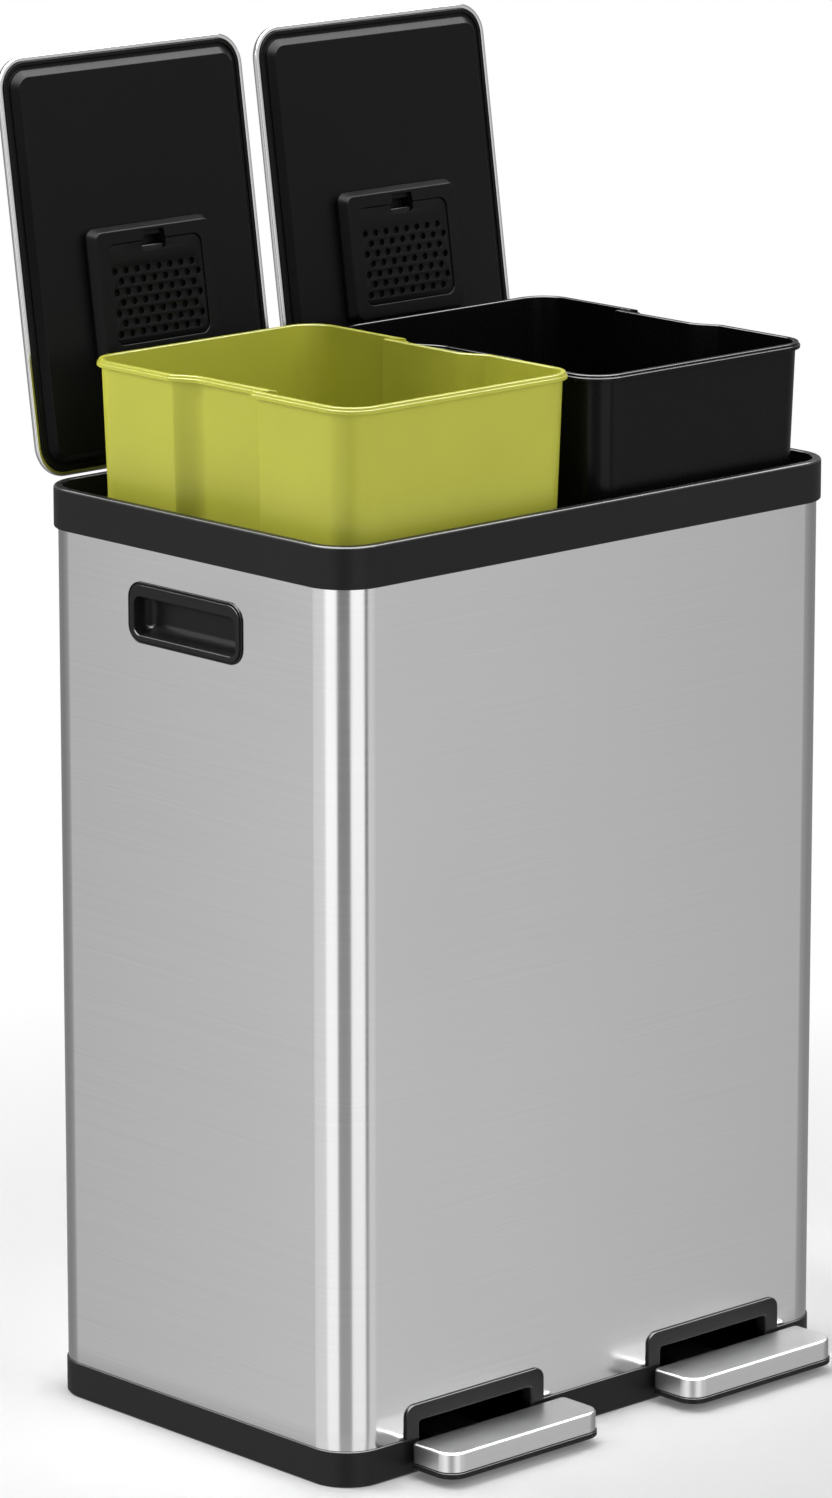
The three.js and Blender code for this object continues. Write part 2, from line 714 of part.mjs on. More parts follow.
// The steel cap, open underneath, with a notch in its back for the lever.
function pedalCap(side) {
  const bottom = PEDAL_TOP - CAP_HEIGHT;
  const cap = loft([
    [pedalOutline(side, CAP_SHEET), PEDAL_TOP - CAP_SHEET],
    [pedalOutline(side, CAP_SHEET), bottom],
    [pedalOutline(side, 0), bottom],
    [pedalOutline(side, 0), PEDAL_TOP - CAP_ROUND],
    [pedalOutline(side, CAP_ROUND / 3), PEDAL_TOP - CAP_ROUND / 3],
    [pedalOutline(side, CAP_ROUND), PEDAL_TOP],
  ]);
  const half = LEVER_WIDTH / 2 + 2 * FIT;
  const notchTop = LEVER_FRONT_Z + LEVER_SHEET / 2 + 2 * FIT;
  const x = lineX(side);
  return cap.subtract(
    box([x - half, pedalBack - CAP_SHEET - FIT, bottom - THROUGH], [x + half, pedalBack + THROUGH, notchTop]),
  );
}

// The black tread base: a rim under the cap and a core that fills it, slotted for the lever.
function pedalTread(side) {
  const step = TREAD_UNDERSIDE + TREAD_THICKNESS;
  const coreInset = CAP_SHEET + FIT;
  const tread = loft([
    [pedalOutline(side, TREAD_CHAMFER - TREAD_PROUD), TREAD_UNDERSIDE],
    [pedalOutline(side, -TREAD_PROUD), TREAD_UNDERSIDE + TREAD_CHAMFER],
    [pedalOutline(side, -TREAD_PROUD), step],
    [pedalOutline(side, coreInset), step],
    [pedalOutline(side, coreInset), PEDAL_TOP - CAP_SHEET - FIT],
  ]);
  const half = LEVER_WIDTH / 2 + FIT;
  const x = lineX(side);
  const low = LEVER_FRONT_Z - LEVER_SHEET / 2 - FIT;
  const high = LEVER_FRONT_Z + LEVER_SHEET / 2 + FIT;
  const deep = pedalBack - PEDAL_REACH + LEVER_TIP_MARGIN - FIT;
  return tread.subtract(box([x - half, deep, low], [x + half, frontFace, high]));
}

// A cranked steel strap from the tread to the push rod, with a hub on the axle.
function pedalLever(side) {
  const x = lineX(side);
  const half = LEVER_WIDTH / 2;
  const rear = rearArm + ROD_RADIUS + FIT;
  const line = points([
    [pedalBack - PEDAL_REACH + LEVER_TIP_MARGIN, LEVER_FRONT_Z],
    [frontFace + LEVER_BEND, LEVER_FRONT_Z],
    [pivotY, PIVOT_Z],
    [pivotY + rear, PIVOT_Z + rear * Math.tan(radians(LEVER_REAR_RISE))],
  ]);
  const strap = sidePlate(strip(line, LEVER_SHEET), x - half, x + half);
  const hub = crossBar(x - half, x + half, pivotY, PIVOT_Z, HUB_RADIUS, 2 * SMALL_SIDES);
  const bore = crossBar(x - half - THROUGH, x + half + THROUGH, pivotY, PIVOT_Z, AXLE_RADIUS + FIT);
  return strap.add(hub).subtract(bore);
}

function pedalAxle(side) {
  const half = LEVER_WIDTH / 2 + PILLAR_GAP + PILLAR_WIDTH - FIT;
  return crossBar(lineX(side) - half, lineX(side) + half, pivotY, PIVOT_Z, AXLE_RADIUS);
}

// ---------------------------------------------------------------- push rods, guides and dampers

function pushRod(side) {
  const x = lineX(side);
  const tipEnd = rodBottom + ROD_TIP;
  const tip = bar([x, rodY, rodBottom], [x, rodY, tipEnd], ROD_TIP_RADIUS, SMALL_SIDES, ROD_RADIUS);
  const shaft = bar([x, rodY, tipEnd], [x, rodY, rodNeckZ], ROD_RADIUS);
  const slotRadius = CRANK_PIN_RADIUS + EYE_PLAY_Z;
  const front = eyeFront + slotRadius;
  const rear = eyeRear - slotRadius;
  const slot = slotOutline([front, eyeZ], [rear, eyeZ], slotRadius);
  const eye = slotOutline([front, eyeZ], [rear, eyeZ], slotRadius + EYE_WALL);
  const half = EYE_SHEET / 2;
  const neck = box([x - half, rodY - ROD_RADIUS, rodNeckZ - ROD_RADIUS], [x + half, rodY + ROD_RADIUS, eyeZ]);
  const hole = sidePlate(slot, x - half - THROUGH, x + half + THROUGH);
  return tip.add(shaft).add(neck).add(sidePlate(eye, x - half, x + half)).subtract(hole);
}

function rodGuide(side) {
  const x = lineX(side);
  const front = rodY - ROD_RADIUS - GUIDE_FLANGE_SHEET - FIT;
  const rear = shellInnerRear - FIT;
  const middle = hingeZ - GUIDE_DROP;
  const low = middle - GUIDE_HEIGHT / 2;
  const high = middle + GUIDE_HEIGHT / 2;
  const block = box([x - GUIDE_WIDTH / 2, front, low], [x + GUIDE_WIDTH / 2, rear, high]);
  const flangeLow = middle - GUIDE_FLANGE / 2;
  const flangeHigh = middle + GUIDE_FLANGE / 2;
  const flange = box(
    [x - GUIDE_FLANGE / 2, rear - GUIDE_FLANGE_SHEET, flangeLow],
    [x + GUIDE_FLANGE / 2, rear, flangeHigh],
  );
  const bore = bar([x, rodY, low - THROUGH], [x, rodY, high + THROUGH], ROD_RADIUS + FIT);
  return block.add(flange).subtract(bore);
}

function damperCylinder(side) {
  const x = lineX(side);
  const top = damperBottom + DAMPER_LENGTH;
  const middle = (damperBottom + top) / 2;
  const sides = 2 * SMALL_SIDES;
  const barrel = bar([x, rodY, damperBottom], [x, rodY, top], DAMPER_RADIUS, sides);
  const halfFoot = DAMPER_FOOT_WIDTH / 2;
  const foot = box(
    [x - halfFoot, rodY, middle - DAMPER_FOOT_HEIGHT / 2],
    [x + halfFoot, shellInnerRear - FIT, middle + DAMPER_FOOT_HEIGHT / 2],
  );
  const chamber = bar(
    [x, rodY, damperBottom + DAMPER_END],
    [x, rodY, top - DAMPER_END],
    DAMPER_RADIUS - DAMPER_WALL,
    sides,
  );
  const bore = bar([x, rodY, damperBottom - THROUGH], [x, rodY, top + THROUGH], ROD_RADIUS + FIT);
  return barrel.add(foot).subtract(chamber).subtract(bore);
}

function damperPiston(side) {
  const x = lineX(side);
  const radius = DAMPER_RADIUS - DAMPER_WALL - FIT;
  const disc = bar([x, rodY, pistonZ], [x, rodY, pistonZ + PISTON_LENGTH], radius, 2 * SMALL_SIDES);
  const bore = bar(
    [x, rodY, pistonZ - THROUGH],
    [x, rodY, pistonZ + PISTON_LENGTH + THROUGH],
    ROD_RADIUS + FIT,
  );
  return disc.subtract(bore);
}

// ---------------------------------------------------------------- hinges

function hingeBracket(side) {
  const x = lineX(side);
  const inner = ARM_WIDTH / 2 + EAR_GAP;
  const outer = inner + EAR_SHEET;
  const rear = shellInnerRear - FIT;
  const bottom = hingeZ - BRACKET_BOTTOM;
  const backPlate = box([x - outer, rear - BRACKET_SHEET, bottom], [x + outer, rear, hingeZ - BRACKET_TOP]);
  const ears = [-1, 1].map((hand) => {
    const [x0, x1] = [hand * inner, hand * outer].sort((a, b) => a - b);
    const eye = crossBar(x + x0, x + x1, hingeY, hingeZ, EAR_RADIUS, 2 * SMALL_SIDES);
    const upright = box([x + x0, rear - EAR_DEPTH, hingeZ - EAR_BOTTOM], [x + x1, rear, hingeZ]);
    return eye.add(upright);
  });
  const flush = box([x - outer, rear, bottom], [x + outer, rear + EAR_RADIUS, RIM_TOP + THROUGH]);
  const hole = crossBar(x - outer - THROUGH, x + outer + THROUGH, hingeY, hingeZ, HINGE_PIN_RADIUS + FIT);
  return backPlate.add(ears[0]).add(ears[1]).subtract(flush).subtract(hole);
}

function hingePin(side) {
  const half = ARM_WIDTH / 2 + EAR_GAP + EAR_SHEET;
  return crossBar(lineX(side) - half, lineX(side) + half, hingeY, hingeZ, HINGE_PIN_RADIUS);
}

// The arm that carries a lid. Its knuckle turns on the hinge pin and its crank pin runs in the rod's eye.
function hingeArm(x) {
  const half = ARM_WIDTH / 2;
  const face = panelFace - FIT;
  const line = points([
    [-ARM_LENGTH, face - ARM_SHEET / 2],
    [-ARM_BEND, face - ARM_SHEET / 2],
    [-ARM_NECK, 0],
    [0, 0],
  ]);
  const strap = sidePlate(strip(line, ARM_SHEET), x - half, x + half);
  const knuckle = crossBar(x - half, x + half, 0, 0, KNUCKLE_RADIUS, 2 * SMALL_SIDES);
  const eyeRoom = EYE_SHEET / 2 + 2 * FIT;
  const gap = box(
    [x - eyeRoom, -ARM_BEND - EYE_WALL, -ARM_SHEET],
    [x + eyeRoom, -KNUCKLE_RADIUS, face + FIT],
  );
  let arm = strap.subtract(gap).add(knuckle);
  const pin = [-crankReach, -crankDrop];
  const cheek = slotOutline([0, 0], pin, KNUCKLE_RADIUS);
  const cheekInner = EYE_SHEET / 2 + FIT;
  const cheekOuter = cheekInner + CRANK_SHEET;
  arm = arm.add(sidePlate(cheek, x - cheekOuter, x - cheekInner));
  arm = arm.add(sidePlate(cheek, x + cheekInner, x + cheekOuter));
  arm = arm.add(crossBar(x - cheekOuter, x + cheekOuter, ...pin, CRANK_PIN_RADIUS));
  arm = arm.subtract(crossBar(x - half - THROUGH, x + half + THROUGH, 0, 0, HINGE_PIN_RADIUS + FIT));
  for (const place of ARM_SCREW_PLACES) {
    arm = arm.subtract(bar([x, -place, -THROUGH], [x, -place, face + THROUGH], SCREW_RADIUS + FIT));
  }
  return arm;
}

function armScrew(x, place) {
  const seat = panelFace - ARM_SHEET - 2 * FIT;
  const head = bar([x, -place, seat - ARM_SCREW_HEAD], [x, -place, seat], SCREW_HEAD_RADIUS);
  const tip = seat + ARM_SCREW_LENGTH;
  return head.add(bar([x, -place, seat - ARM_SCREW_HEAD / 2], [x, -place, tip], SCREW_RADIUS));
}

// ---------------------------------------------------------------- lids, drawn closed about the hinge axis

function lidOutline(inset) {
  const outline = roundedRect(lidWidth - 2 * inset, lidLength - 2 * inset, LID_CORNER - inset);
  return outline.map((p) => p.setY(p.y - LID_SETBACK - lidLength / 2));
}

function lidSkin() {
  const edge = LID_TOP - LID_SIDE;
  const round = LID_SHEET / 2;
  return loft([
    [lidOutline(LID_HEM), LID_TOP - LID_SHEET],
    [lidOutline(LID_HEM), edge + round],
    [lidOutline(LID_HEM - round), edge],
    [lidOutline(round), edge],
    [lidOutline(0), edge + round],
    [lidOutline(0), LID_TOP - 3 * round],
    [lidOutline(round), LID_TOP - round],
    [lidOutline(3 * round), LID_TOP],
  ]);
}

function lidLiner(armX) {
  const back = LID_TOP - LID_SHEET - FIT;
  const band = LID_TOP - LID_SIDE - LINER_PROUD;
  const outer = LID_HEM + FIT;
  const panel = LINER_BAND + LINER_BEVEL;
  let liner = loft([
    [lidOutline(panel), panelFace],
    [lidOutline(LINER_BAND), band],
    [lidOutline(outer + LINER_PROUD), band],
    [lidOutline(outer), band + LINER_PROUD],
    [lidOutline(outer), back],
    [lidOutline(outer + LINER_WALL), back],
    [lidOutline(outer + LINER_WALL), band + LINER_WALL],
    [lidOutline(LINER_BAND + LINER_WALL), band + LINER_WALL],
    [lidOutline(panel + LINER_WALL), panelFace + LINER_WALL],
  ]);
  for (const place of ARM_SCREW_PLACES) {
    const boss = bar([armX, -place, panelFace + LINER_WALL / 2], [armX, -place, back], SCREW_HEAD_RADIUS);
    const hole = bar([armX, -place, panelFace - THROUGH], [armX, -place, back + THROUGH], SCREW_RADIUS + FIT);
    liner = liner.add(boss).subtract(hole);
  }
  return liner;
}

function housingOutline(inset) {
  const corner = Math.max(HOUSING_CORNER - inset / 2, 2);
  const width = HOUSING_WIDTH - 2 * inset;
  const length = HOUSING_LENGTH - 2 * inset;
  const outline = roundedRect(width, length, corner, corner, CORNER_STEPS / 2);
  return outline.map((p) => p.setY(p.y + housingY));
}

// The raised frame round the filter, with a ledge that the cover lies on.
function filterFrame() {
  const base = panelFace - FIT;
  const windowInset = HOUSING_BORDER + HOUSING_CHAMFER;
  return loft(
    [
      [housingOutline(windowInset), housingFace],
      [housingOutline(HOUSING_CHAMFER), housingFace],
      [housingOutline(0), base - HOUSING_CHAMFER],
      [housingOutline(0), base],
      [housingOutline(windowInset + HOUSING_LEDGE), base],
      [housingOutline(windowInset + HOUSING_LEDGE), ledgeZ],
      [housingOutline(windowInset), ledgeZ],
    ],
    true,
  );
}

// A perforated cover with a thumb notch in the edge away from the hinge.
function filterCover() {
  const width = windowWidth - 2 * FIT;
  const length = windowLength - 2 * FIT;
  const far = -length / 2;
  const half = NOTCH_WIDTH / 2;
  const corner = NOTCH_DEPTH / 2;
  const outline = roundedRect(width, length, COVER_CORNER, COVER_CORNER, CORNER_STEPS / 2);
  const body = plate(outline, coverFace, coverFace + COVER_SHEET, coverHoles());
  const notch = plate(
    [
      ...points([
        [half, far - THROUGH],
        [half, far],
      ]),
      ...arc(half - corner, far + NOTCH_DEPTH - corner, corner, 0, 90, CORNER_STEPS / 2),
      ...arc(corner - half, far + NOTCH_DEPTH - corner, corner, 90, 180, CORNER_STEPS / 2),
      ...points([
        [-half, far],
        [-half, far - THROUGH],
      ]),
    ],
    coverFace - THROUGH,
    coverFace + COVER_SHEET + THROUGH,
  );
  return body.subtract(notch).translate([0, housingY, 0]);
}

// Staggered rows of holes, below the notch.
function coverHoles() {
  const holes = [];
  const firstY = windowLength / 2 - HOLE_PITCH_Y;
  for (let row = 0; row < HOLE_ROWS; row++) {
    const shift = row % 2 ? HOLE_PITCH_X / 4 : -HOLE_PITCH_X / 4;
    for (let column = 0; column < HOLE_COLUMNS; column++) {
      const x = (column - (HOLE_COLUMNS - 1) / 2) * HOLE_PITCH_X + shift;
      const y = firstY - row * HOLE_PITCH_Y;
      holes.push(arc(x, y, HOLE_RADIUS, 0, 360 - 360 / HOLE_SIDES, HOLE_SIDES - 1));
    }
  }
  return holes;
}

function carbonFilter() {
  const inset = HOUSING_BORDER + HOUSING_CHAMFER + HOUSING_LEDGE + FIT;
  const low = ledgeZ;
  return loft([
    [housingOutline(inset), low],
    [housingOutline(inset), low + FILTER_PAD_THICKNESS],
  ]);
}

// ---------------------------------------------------------------- buckets

// A bucket's outline, set in from the rim flange and drawn in by the draft. Each side wall steps back
// through a smooth curve at one end of its recess and a sharp step at the other; the left wall is the right
// wall turned half round.
function bucketOutline(side, inset, drawnIn) {
  const halfWidth = bucketWidth / 2 - inset - drawnIn;
  const halfDepth = bucketDepth / 2 - inset - drawnIn;
  const corner = BUCKET_CORNER - inset;
  const stepY = RECESS_STEP_Y + inset - FLANGE_PROUD;
  const curve = Array.from({ length: CURVE_STEPS + 1 }, (_, i) => {
    const t = i / CURVE_STEPS;
    const ease = t * t * (3 - 2 * t);
    const y = RECESS_CURVE_START + (RECESS_CURVE_END - RECESS_CURVE_START) * t;
    return new THREE.Vector2(halfWidth - RECESS_DEPTH * ease, y);
  });
  const right = [
    ...arc(halfWidth - corner, corner - halfDepth, corner, -90, 0, CORNER_STEPS),
    ...curve,
    new THREE.Vector2(halfWidth - RECESS_DEPTH, stepY),
    new THREE.Vector2(halfWidth, stepY),
    ...arc(halfWidth - corner, halfDepth - corner, corner, 0, 90, CORNER_STEPS),
  ];
  const left = right.map((p) => p.clone().negate());
  return [...right, ...left].map((p) => p.set(p.x + bucketX(side), p.y + bucketY));
}

function bucket(side, rise) {
  const top = RIM_TOP + rise;
  const bottom = top - BUCKET_HEIGHT;
  const draft = (z) => (top - z) * Math.tan(radians(BUCKET_DRAFT));
  const ring = (inset, z) => [bucketOutline(side, inset, draft(z)), z];
  const outside = FLANGE_PROUD;
  const inside = FLANGE_PROUD + BUCKET_WALL;
  return loft([
    ring(outside + BUCKET_FOOT_ROUND, bottom),
    ring(outside + BUCKET_FOOT_ROUND / 3, bottom + BUCKET_FOOT_ROUND / 3),
    ring(outside, bottom + BUCKET_FOOT_ROUND),
    ring(outside, top - FLANGE_HEIGHT),
    ring(FLANGE_STEP, top - FLANGE_HEIGHT),
    ring(FLANGE_STEP, top - FLANGE_LIP),
    ring(0, top - FLANGE_LIP),
    ring(0, top - FLANGE_ROUND),
    ring(FLANGE_ROUND, top),
    ring(inside - FLANGE_ROUND, top),
    ring(inside, top - FLANGE_ROUND),
    ring(inside, bottom + BUCKET_FOOT_ROUND),
    ring(outside + BUCKET_FOOT_ROUND, bottom + BUCKET_WALL),
  ]);
}

// ---------------------------------------------------------------- assembly

// Everything that swings with a lid hangs in this group, drawn closed and turned open about the hinge.
function lidGroup(hand, side) {
  const armX = lineX(side) - lidX(side);
  const lid = new THREE.Group();
  lid.add(
    mesh(`lid_skin_${hand}`, lidSkin(), brushedSteel),
    mesh(`lid_liner_${hand}`, lidLiner(armX), linerPlastic),
    mesh(`filter_frame_${hand}`, filterFrame(), linerPlastic),
    mesh(`filter_cover_${hand}`, filterCover(), linerPlastic),
    mesh(`carbon_filter_${hand}`, carbonFilter(), filterFelt),
    mesh(`hinge_arm_${hand}`, hingeArm(armX), plainSteel),
  );
  ARM_SCREW_PLACES.forEach((place, i) => {
    lid.add(mesh(`arm_screw_${hand}_${i + 1}`, armScrew(armX, place), plainSteel));
  });
  lid.position.set(lidX(side), hingeY, hingeZ);
  lid.rotation.x = -radians(LID_OPEN);
  return lid;
}

function lineGroup(hand, side) {
  const line = new THREE.Group();
  line.add(
    mesh(`handle_cup_${hand}`, handleCup(side), blackPlastic),
    mesh(`pedal_frame_${hand}`, pedalFrame(side), blackPlastic),
    mesh(`pedal_cap_${hand}`, pedalCap(side), brushedSteel),
    mesh(`pedal_tread_${hand}`, pedalTread(side), blackPlastic),
    mesh(`pedal_lever_${hand}`, pedalLever(side), plainSteel),
    mesh(`pedal_axle_${hand}`, pedalAxle(side), plainSteel),
    mesh(`push_rod_${hand}`, pushRod(side), plainSteel),
    mesh(`rod_guide_${hand}`, rodGuide(side), blackPlastic),
    mesh(`damper_cylinder_${hand}`, damperCylinder(side), blackPlastic),
    mesh(`damper_piston_${hand}`, damperPiston(side), blackPlastic),
    mesh(`hinge_bracket_${hand}`, hingeBracket(side), plainSteel),
    mesh(`hinge_pin_${hand}`, hingePin(side), plainSteel),
  );
  return line;
}

const bin = new THREE.Group();
bin.add(
  mesh("base_tray", baseTray(), blackPlastic),
  mesh("body_shell", bodyShell(), brushedSteel),
  mesh("top_rim", topRim(), blackPlastic),
  mesh("bucket_shelf", bucketShelf(), blackPlastic),
  mesh("bucket_left", bucket(SIDES.left, BUCKET_RISES.left), greenPlastic),
  mesh("bucket_right", bucket(SIDES.right, BUCKET_RISES.right), bucketBlack),
);
for (const [place, at] of Object.entries(footPlaces())) {
  bin.add(mesh(`foot_pad_${place}`, footPad(at), rubber));
}
for (const [place, at] of Object.entries(postPlaces())) {
  bin.add(mesh(`shelf_screw_${place}`, shelfScrew(at), plainSteel));
}
for (const [hand, side] of Object.entries(SIDES)) {
  bin.add(lineGroup(hand, side), lidGroup(hand, side));
}

export default bin;
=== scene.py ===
"""Double recycling bin: brushed steel body, two lids held open and two lift-out buckets.

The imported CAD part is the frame, and every piece here is drawn round it in the same place. Sizes are in
millimetres until a mesh is made. A point of a lid is given as x, the distance forward of the hinge axis
with the lid shut, and the height over that axis.
"""

import json
import math

import bmesh
import bpy
import numpy as np
from mathutils import Matrix, Vector

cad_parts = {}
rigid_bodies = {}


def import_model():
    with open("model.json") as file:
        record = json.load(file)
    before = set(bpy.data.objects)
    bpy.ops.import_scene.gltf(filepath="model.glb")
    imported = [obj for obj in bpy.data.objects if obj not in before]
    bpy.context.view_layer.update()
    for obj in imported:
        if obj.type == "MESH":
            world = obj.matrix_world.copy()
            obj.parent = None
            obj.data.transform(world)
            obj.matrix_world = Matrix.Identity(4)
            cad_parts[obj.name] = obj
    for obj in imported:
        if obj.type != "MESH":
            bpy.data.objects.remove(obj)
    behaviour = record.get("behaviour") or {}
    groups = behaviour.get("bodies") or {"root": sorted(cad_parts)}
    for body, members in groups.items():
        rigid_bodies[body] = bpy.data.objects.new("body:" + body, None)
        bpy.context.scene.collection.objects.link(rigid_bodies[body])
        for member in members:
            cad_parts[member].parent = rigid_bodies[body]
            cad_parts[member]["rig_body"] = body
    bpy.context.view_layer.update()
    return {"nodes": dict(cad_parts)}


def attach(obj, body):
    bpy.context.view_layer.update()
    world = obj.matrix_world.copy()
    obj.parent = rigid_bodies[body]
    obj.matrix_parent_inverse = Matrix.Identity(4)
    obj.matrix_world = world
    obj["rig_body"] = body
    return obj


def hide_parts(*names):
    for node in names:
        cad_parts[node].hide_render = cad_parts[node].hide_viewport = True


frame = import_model()

MM = 0.001
CORNER_STEPS = 14  # facets in a quarter turn of a large corner
FILLET_STEPS = 4  # facets in a rounded edge of a section
SMOOTH_ANGLE = math.radians(38)
MERGE_DISTANCE = 2e-6  # metres

# Body
BODY_SIZE = BODY_WIDTH, BODY_DEPTH, BODY_CORNER = 455.0, 300.0, 29.0
SHELL_SHEET = 1.2
SHELL_BOTTOM, SHELL_TOP = 25.3, 633.2
SEAM_DEPTH, SEAM_HALF = 0.35, 0.7
RIM_TOP = 636.5
RIM_NOTCH_HALF, RIM_NOTCH_Y = 19.0, (142.4, 148.8)  # room for the hinge brackets and lid knuckles
BAND_SLOT_HALF = 51.5
SIDES = {"left": -1, "right": 1}
LINE_X = {"left": -110.0, "right": 116.5}

# Handle cups
HANDLE_LENGTH, HANDLE_HEIGHT, HANDLE_CORNER = 113.0, 41.5, 12.0
HANDLE_Y, HANDLE_Z = 3.0, 564.3
HANDLE_BORDER, HANDLE_FLOOR, HANDLE_BACK = 6.0, -13.5, -15.0
CUP_HOLE_HALF_Y, CUP_HOLE_HALF_Z = 52.5, 16.6  # in the sheet behind the border
GRIP_SQUEEZE, GRIP_DROP = 0.12, 2.2  # the hollow is flatter and lower than the plate round it

# Pedals and their frames
FRAME_WIDTH, FRAME_TOP, FRAME_CORNER = 127.0, 48.0, 8.0
FRAME_BORDER, FRAME_COLLAR = 12.0, 2.0
DOOR_HALF, DOOR_TOP = 53.6, 38.2  # of the doorway in the sheet
PEDAL_WIDTH, PEDAL_REACH, PEDAL_CORNER, PEDAL_BACK_CORNER = 141.0, 39.0, 13.0, 4.0
PEDAL_OFFSET, PEDAL_Y = 8.5, -174.0
LEVER_HALF = 18.0

# Lids
HINGE_Y, HINGE_Z, LID_OPEN = 145.0, 633.0, math.radians(98.4)
LID_X = {"left": -114.5, "right": 114.5}
LID_WIDTH, LID_LENGTH, LID_CORNER, LID_SETBACK = 216.0, 282.0, 22.0, 5.5
HOUSING_WIDTH, HOUSING_LENGTH, HOUSING_CORNER = 108.0, 92.0, 7.0
HOUSING_MIDDLE = 121.5
COVER_FACE, COVER_SHEET = -5.5, 2.0
HOLE_RADIUS, HOLE_PITCH_X, HOLE_PITCH_Y = 2.35, 9.8, 7.1
HOLE_ROWS, HOLE_COLUMNS, HOLE_ROW_START = 7, 8, 26.9

# Buckets
BUCKET_X = {"left": -110.2, "right": 110.2}
BUCKET_WIDTH, BUCKET_DEPTH, BUCKET_CORNER, BUCKET_Y = 208.0, 264.0, 24.0, -11.0
BUCKET_TOP, BUCKET_HEIGHT = {"left": 724.0, "right": 717.5}, 510.0
BUCKET_DRAFT = math.tan(math.radians(1.5))
RECESS_DEPTH, RECESS_CURVE, RECESS_STEP, RECESS_SLANT = 9.0, (-45.0, -22.0), 39.0, 3.5


# ---------------------------------------------------------------- outlines and sections


def quarter_turns(steps):
    """The directions of four quarter turns in a row, and which corner each belongs to."""
    angle = np.concatenate([np.linspace(q, q + 1, steps + 1) for q in range(4)]) * math.pi / 2
    corner_x = np.repeat([1, -1, -1, 1], steps + 1)
    corner_y = np.repeat([1, 1, -1, -1], steps + 1)
    return np.cos(angle), np.sin(angle), corner_x, corner_y


def rounded_rings(width, depth, radius, offsets, back_radius=None, least=0.0, steps=CORNER_STEPS):
    """Rounded rectangles grown outwards by each offset.

    A corner's centre stands the corner's radius inside both edges, and each point is that centre plus the
    radius along its direction. Growing by an offset moves the edges and the radius by as much.
    """
    cos, sin, corner_x, corner_y = quarter_turns(steps)
    offsets = np.asarray(offsets, float)[:, None]
    base = np.where(corner_y > 0, radius if back_radius is None else back_radius, radius)
    grown = np.maximum(base + offsets, least)
    x = corner_x * (width / 2 + offsets - grown) + grown * cos
    y = corner_y * (depth / 2 + offsets - grown) + grown * sin
    return np.stack([x, y], -1)


def filleted(corners, steps=FILLET_STEPS):
    """A section's corners, each (offset, height, fillet radius), as a smooth line.

    Each fillet is the arc that touches both edges at its corner. It leaves each edge at the radius over the
    tangent of half the corner's angle, and its centre stands on the line that halves the angle.
    """
    places = np.array([corner[:2] for corner in corners], float)
    line = []
    for i, corner in enumerate(corners):
        radius = corner[2] if len(corner) > 2 else 0
        if not radius or i in (0, len(corners) - 1):
            line.append(places[i][None])
            continue
        before = places[i - 1] - places[i]
        after = places[i + 1] - places[i]
        before /= np.linalg.norm(before)
        after /= np.linalg.norm(after)
        half = math.acos(np.clip(before @ after, -1, 1)) / 2
        bisector = (before + after) / np.linalg.norm(before + after)
        centre = places[i] + bisector * radius / math.sin(half)
        start = places[i] + before * radius / math.tan(half) - centre
        end = places[i] + after * radius / math.tan(half) - centre
        turn = math.pi - 2 * half
        share = np.linspace(0, 1, steps + 1)[:, None]
        arc = np.sin((1 - share) * turn) * start + np.sin(share * turn) * end
        line.append(centre + arc / math.sin(turn))
    line = np.concatenate(line)
    return line[:, 0], line[:, 1]


def ring_section(corners, steps=FILLET_STEPS):
    """A filleted section that goes all the way round: it starts and ends halfway along its last edge."""
    middle = (np.array(corners[0][:2]) + np.array(corners[-1][:2])) / 2
    offsets, heights = filleted([tuple(middle), *corners, tuple(middle)], steps)
    return offsets[:-1], heights[:-1]


# ---------------------------------------------------------------- frames of reference


def on_body(x, y, z):
    """A point of the body, as it is."""
    return np.stack(np.broadcast_arrays(x, y, z), -1).astype(float)


def on_side(side):
    """Along the side, up, and out of it, for a piece let into the left or right side."""
    return lambda u, v, w: on_body(side * (BODY_WIDTH / 2 + w), HANDLE_Y + side * u, HANDLE_Z + v)


def on_lid(x_middle):
    """Across the lid, forward of the hinge, and up from it, swung open about the hinge axis."""
    sin, cos = math.sin(LID_OPEN), math.cos(LID_OPEN)

    def place(x, forward, height):
        y = HINGE_Y - cos * forward + sin * height
        z = HINGE_Z + sin * forward + cos * height
        return on_body(x_middle + x, y, z)

    return place


# ---------------------------------------------------------------- meshes


def linked(name, data):
    """A new object in the scene."""
    obj = bpy.data.objects.new(name, data)
    bpy.context.scene.collection.objects.link(obj)
    return obj


def points_of(mesh):
    """A mesh's points, as rows of x, y and z."""
    points = np.empty(len(mesh.vertices) * 3)
    mesh.vertices.foreach_get("co", points)
    return points.reshape(-1, 3)


def baked(obj):
    """A mesh of an object as its curve or its modifiers make it."""
    bpy.context.view_layer.update()
    return bpy.data.meshes.new_from_object(obj.evaluated_get(bpy.context.evaluated_depsgraph_get()))


def quads_between(row, column, after, following, count):
    """A grid's four-sided faces. Each takes two columns of a row and the same two of the row after."""
    this, then = row * count, after * count
    return np.stack([this + column, this + following, then + following, then + column], -1).reshape(-1, 4)


def make(name, points, faces):
    """A mesh object of points in millimetres, closed, with its doubles merged and its faces outwards."""
    mesh = bpy.data.meshes.new(name)
    mesh.from_pydata((np.asarray(points).reshape(-1, 3) * MM).tolist(), [], faces)
    return finished(name, mesh)


def finished(name, mesh):
    """An object of a mesh, with doubles merged, and smooth but for its sharp edges."""
    bm = bmesh.new()
    bm.from_mesh(mesh)
    bmesh.ops.remove_doubles(bm, verts=bm.verts, dist=MERGE_DISTANCE)
    bmesh.ops.recalc_face_normals(bm, faces=bm.faces)
    bm.to_mesh(mesh)
    bm.free()
    smooth(mesh)
    return linked(name, mesh)


